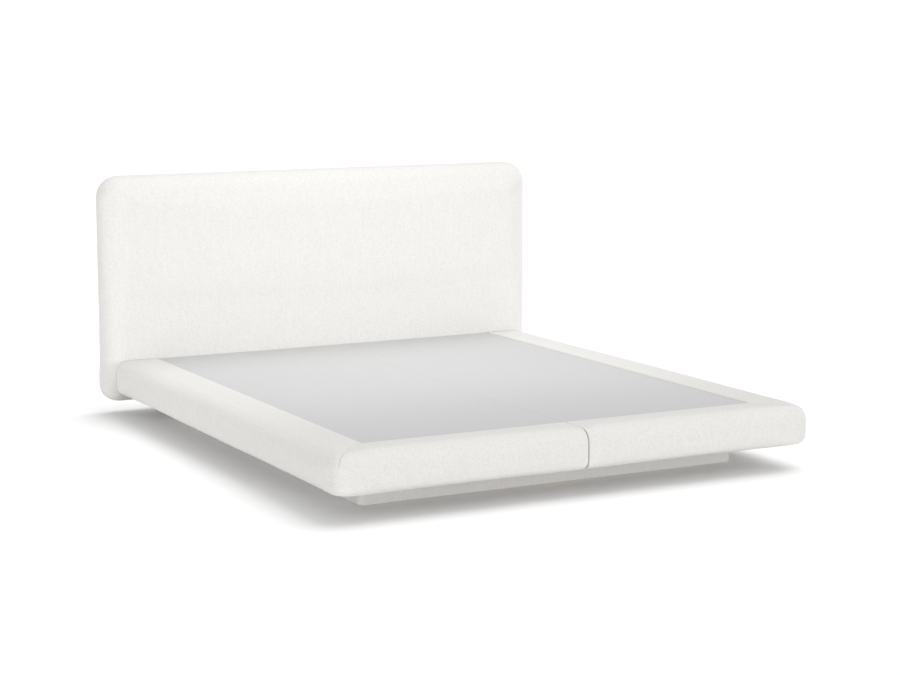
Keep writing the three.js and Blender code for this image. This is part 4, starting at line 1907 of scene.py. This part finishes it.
@dataclass(frozen=True)
class CentreSupport:
    """A centre leg with its levelling foot: a plastic pad on a threaded steel stud."""

    word: str
    body: Body
    pad_height: float = 0.008
    boss: float = 0.0095
    stud: float = 0.0042
    thread_pitch: float = 0.0018
    thread_width: float = 0.0100
    ridge_depth: float = 0.0019
    pad_sides: int = 40
    stud_sides: int = 20

    def foot(self, finishes: Finishes) -> None:
        """Makes the levelling foot's pad and its threaded stud.

        Args:
            finishes: The bed's finishes.
        """
        node = f"{self.word}_levelling_foot"
        low, high = box_of(node)
        centre = (low + high) / 2.0
        radius = (high[0] - low[0]) / 2.0
        pad_profile = [(0.0, 0.0), (radius - 0.0025, 0.0), (radius - 0.0007, 0.0007), (radius, 0.0025),
                       (radius, 0.0048), (radius - 0.0012, 0.0068), (radius - 0.0040, 0.0078),
                       (self.boss, self.pad_height), (0.0, self.pad_height)]
        pad_mesh = turned_mesh(f"{self.word}_foot_pad", pad_profile, centre, low[2], self.pad_sides)
        pad = new_object(f"{self.word}_foot_pad", pad_mesh)
        finish_piece(pad, finishes.plastic, self.body)
        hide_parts(node)
        top = high[2] - low[2]
        stud_profile = [(0.0, self.pad_height), (self.stud, self.pad_height), (self.stud, top - 0.001),
                        (self.stud - 0.001, top), (0.0, top)]
        stud_mesh = turned_mesh(f"{self.word}_foot_stud", stud_profile, centre, low[2], self.stud_sides)
        stud = new_object(f"{self.word}_foot_stud", stud_mesh)
        finish_piece(stud, finishes.steel, self.body)
        thread_ends = (low[2] + self.pad_height + 0.001, high[2] - 0.002)
        path = np.array([(centre[0], centre[1], z) for z in thread_ends])
        ridges = BeadRow(Bead.THREAD_RIDGE, self.thread_pitch, self.ridge_depth, self.thread_width)
        thread = ridges.along(f"{self.word}_foot_thread", [path], finishes.steel)
        finish_piece(thread, finishes.steel, self.body)

    def build(self, finishes: Finishes) -> None:
        """Dresses the leg and makes its foot."""
        dress(f"{self.word}_centre_leg", finishes.timber[Axis.Z])
        self.foot(finishes)


def turned_mesh(name: str, profile: Sequence[tuple[float, float]], centre: np.ndarray, floor: float,
                sides: int) -> bpy.types.Mesh:
    """Makes a turned solid with closed poles.

    Args:
        name: The mesh's name.
        profile: Radius and height pairs from the bottom pole to the top pole.
        centre: A point on the axis.
        floor: Height that the profile's heights start from.
        sides: Sides round the axis.

    Returns:
        The closed mesh.
    """
    rings = profile[1:-1]
    points = [(centre[0], centre[1], floor + profile[0][1])]
    for radius, height in rings:
        for step in range(sides):
            angle = math.tau * step / sides
            points.append((centre[0] + radius * math.cos(angle), centre[1] + radius * math.sin(angle),
                           floor + height))
    points.append((centre[0], centre[1], floor + profile[-1][1]))
    last = len(points) - 1
    faces = []
    for step in range(sides):
        following = (step + 1) % sides
        faces.append((0, 1 + following, 1 + step))
        for ring in range(len(rings) - 1):
            first = 1 + ring * sides
            faces.append((first + step, first + following, first + sides + following, first + sides + step))
        top = 1 + (len(rings) - 1) * sides
        faces.append((last, top + step, top + following))
    mesh = bpy.data.meshes.new(name)
    mesh.from_pydata(points, [], faces)
    mesh.validate()
    mesh.polygons.foreach_set("use_smooth", [len(face) == 4 for face in faces])
    return mesh


# ------------------------------------------------------------------------------------ studio


@dataclass(frozen=True)
class SoftBoxLight:
    """A large soft light, aimed at a point."""

    name: str
    place: tuple[float, float, float]
    aim: tuple[float, float, float]
    width: float
    height: float
    power: float
    spread: float

    def build(self) -> None:
        """Hangs the light, out of the camera's sight."""
        data = bpy.data.lights.new(self.name, "AREA")
        data.shape = "RECTANGLE"
        data.size, data.size_y = self.width, self.height
        data.energy = self.power
        data.spread = math.radians(self.spread)
        lamp = bpy.data.objects.new(self.name, data)
        lamp.visible_camera = False
        bpy.context.scene.collection.objects.link(lamp)
        lamp.location = self.place
        lamp.rotation_euler = (Vector(self.aim) - Vector(self.place)).to_track_quat("-Z", "Y").to_euler()


@dataclass(frozen=True)
class WideLight:
    """A very wide, distant soft light, such as a lit studio wall, by the direction that it comes from."""

    name: str
    heading: float
    height: float
    spread: float
    strength: float

    def build(self) -> None:
        """Sets the light up; a strength of 1 lights a white surface that faces it to full white."""
        data = bpy.data.lights.new(self.name, "SUN")
        data.angle = math.radians(self.spread)
        data.energy = math.pi * self.strength
        lamp = bpy.data.objects.new(self.name, data)
        bpy.context.scene.collection.objects.link(lamp)
        heading, height = math.radians(self.heading), math.radians(self.height)
        source = Vector((math.cos(heading) * math.cos(height), math.sin(heading) * math.cos(height),
                         math.sin(height)))
        lamp.rotation_euler = (-source).to_track_quat("-Z", "Y").to_euler()


@dataclass(frozen=True)
class Studio:
    """The plain pale floor, the soft light and the camera."""

    eye: tuple[float, float, float] = (-3.7488, -7.2095, 1.6495)
    tilt: float = 81.3007
    heading: float = -27.8776
    lens: float = 82.72
    sensor: float = 36.0
    floor_size: float = 60.0
    floor_colour: Colour = (0.90, 0.90, 0.90)
    floor_glow: float = 0.06
    sky_strength: float = 0.62
    lights: tuple[SoftBoxLight | WideLight, ...] = (
        WideLight("overhead_key", 18.0, 64.0, 50.0, 0.525),
        WideLight("low_right_fill", 290.0, 4.0, 8.0, 0.31),
        WideLight("low_left_fill", 203.0, 4.0, 8.0, 0.33),
        SoftBoxLight("headboard_softbox", (0.0, -1.3, 1.9), (0.0, 1.02, 0.22), 2.4, 0.8, 5.1, 70.0),
    )

    def camera(self) -> None:
        """Sets the camera up."""
        data = bpy.data.cameras.new("studio_camera")
        data.lens, data.sensor_width = self.lens, self.sensor
        camera = bpy.data.objects.new("studio_camera", data)
        camera.location = self.eye
        camera.rotation_euler = (math.radians(self.tilt), 0.0, math.radians(self.heading))
        bpy.context.scene.collection.objects.link(camera)
        bpy.context.scene.camera = camera

    def floor(self) -> None:
        """Lays the floor."""
        half = self.floor_size / 2.0
        mesh = bpy.data.meshes.new("studio_floor")
        mesh.from_pydata([(-half, -half, 0.0), (half, -half, 0.0), (half, half, 0.0), (-half, half, 0.0)], [],
                         [(0, 1, 2, 3)])
        floor = new_object("studio_floor", mesh)
        material, sketch, _ = material_sketch("studio_floor_paper")
        surface(sketch, {"Base Color": opaque(self.floor_colour), "Roughness": 1.0, "Specular IOR Level": 0.0,
                         "Emission Color": (1.0, 1.0, 1.0, 1.0), "Emission Strength": self.floor_glow})
        floor.data.materials.append(material)

    def sky(self) -> None:
        """Surrounds the scene with even white light, which the camera sees as pure white."""
        world = bpy.data.worlds.new("studio_sky")
        world.use_nodes = True
        bpy.context.scene.world = world
        sketch = Sketch(world.node_tree)
        path = sketch.add("ShaderNodeLightPath")
        extra = sketch.math("MULTIPLY", path.outputs["Is Camera Ray"], 1.05 - self.sky_strength)
        strength = sketch.math("ADD", extra, self.sky_strength)
        background = sketch.add("ShaderNodeBackground", {"Color": (1.0, 1.0, 1.0, 1.0), "Strength": strength})
        sketch.add("ShaderNodeOutputWorld", {"Surface": background.outputs[0]})

    def build(self) -> None:
        """Makes the whole studio."""
        bpy.context.scene.view_settings.view_transform = "Standard"
        self.camera()
        self.floor()
        self.sky()
        for light in self.lights:
            light.build()


# ------------------------------------------------------------------------------------ the bed


def dress_hidden_foam(finishes: Finishes) -> None:
    """Gives the foam and the joining bolt their finishes.

    Args:
        finishes: The bed's finishes.
    """
    dress("headboard_foam", finishes.foam)
    for side in Side:
        for part in ("side", "foot"):
            dress(f"{side.word}_{part}_foam", finishes.foam)
    dress("joining_bolt", finishes.steel)


def main() -> None:
    """Builds the studio and the bed, part by part."""
    logging.basicConfig(level=logging.INFO, format="%(name)s %(message)s")
    Studio().build()
    finishes = Finishes.make()
    headboard = Headboard()
    headboard.build(finishes)
    for side in Side:
        RimHalf(side, headboard).build(finishes)
        DeckPanel(side).build(finishes)
    Plinth().build(finishes)
    CentreSupport("front", Body.FRONT_FOOT).build(finishes)
    CentreSupport("rear", Body.REAR_FOOT).build(finishes)
    dress_hidden_foam(finishes)


if __name__ == "__main__":
    main()
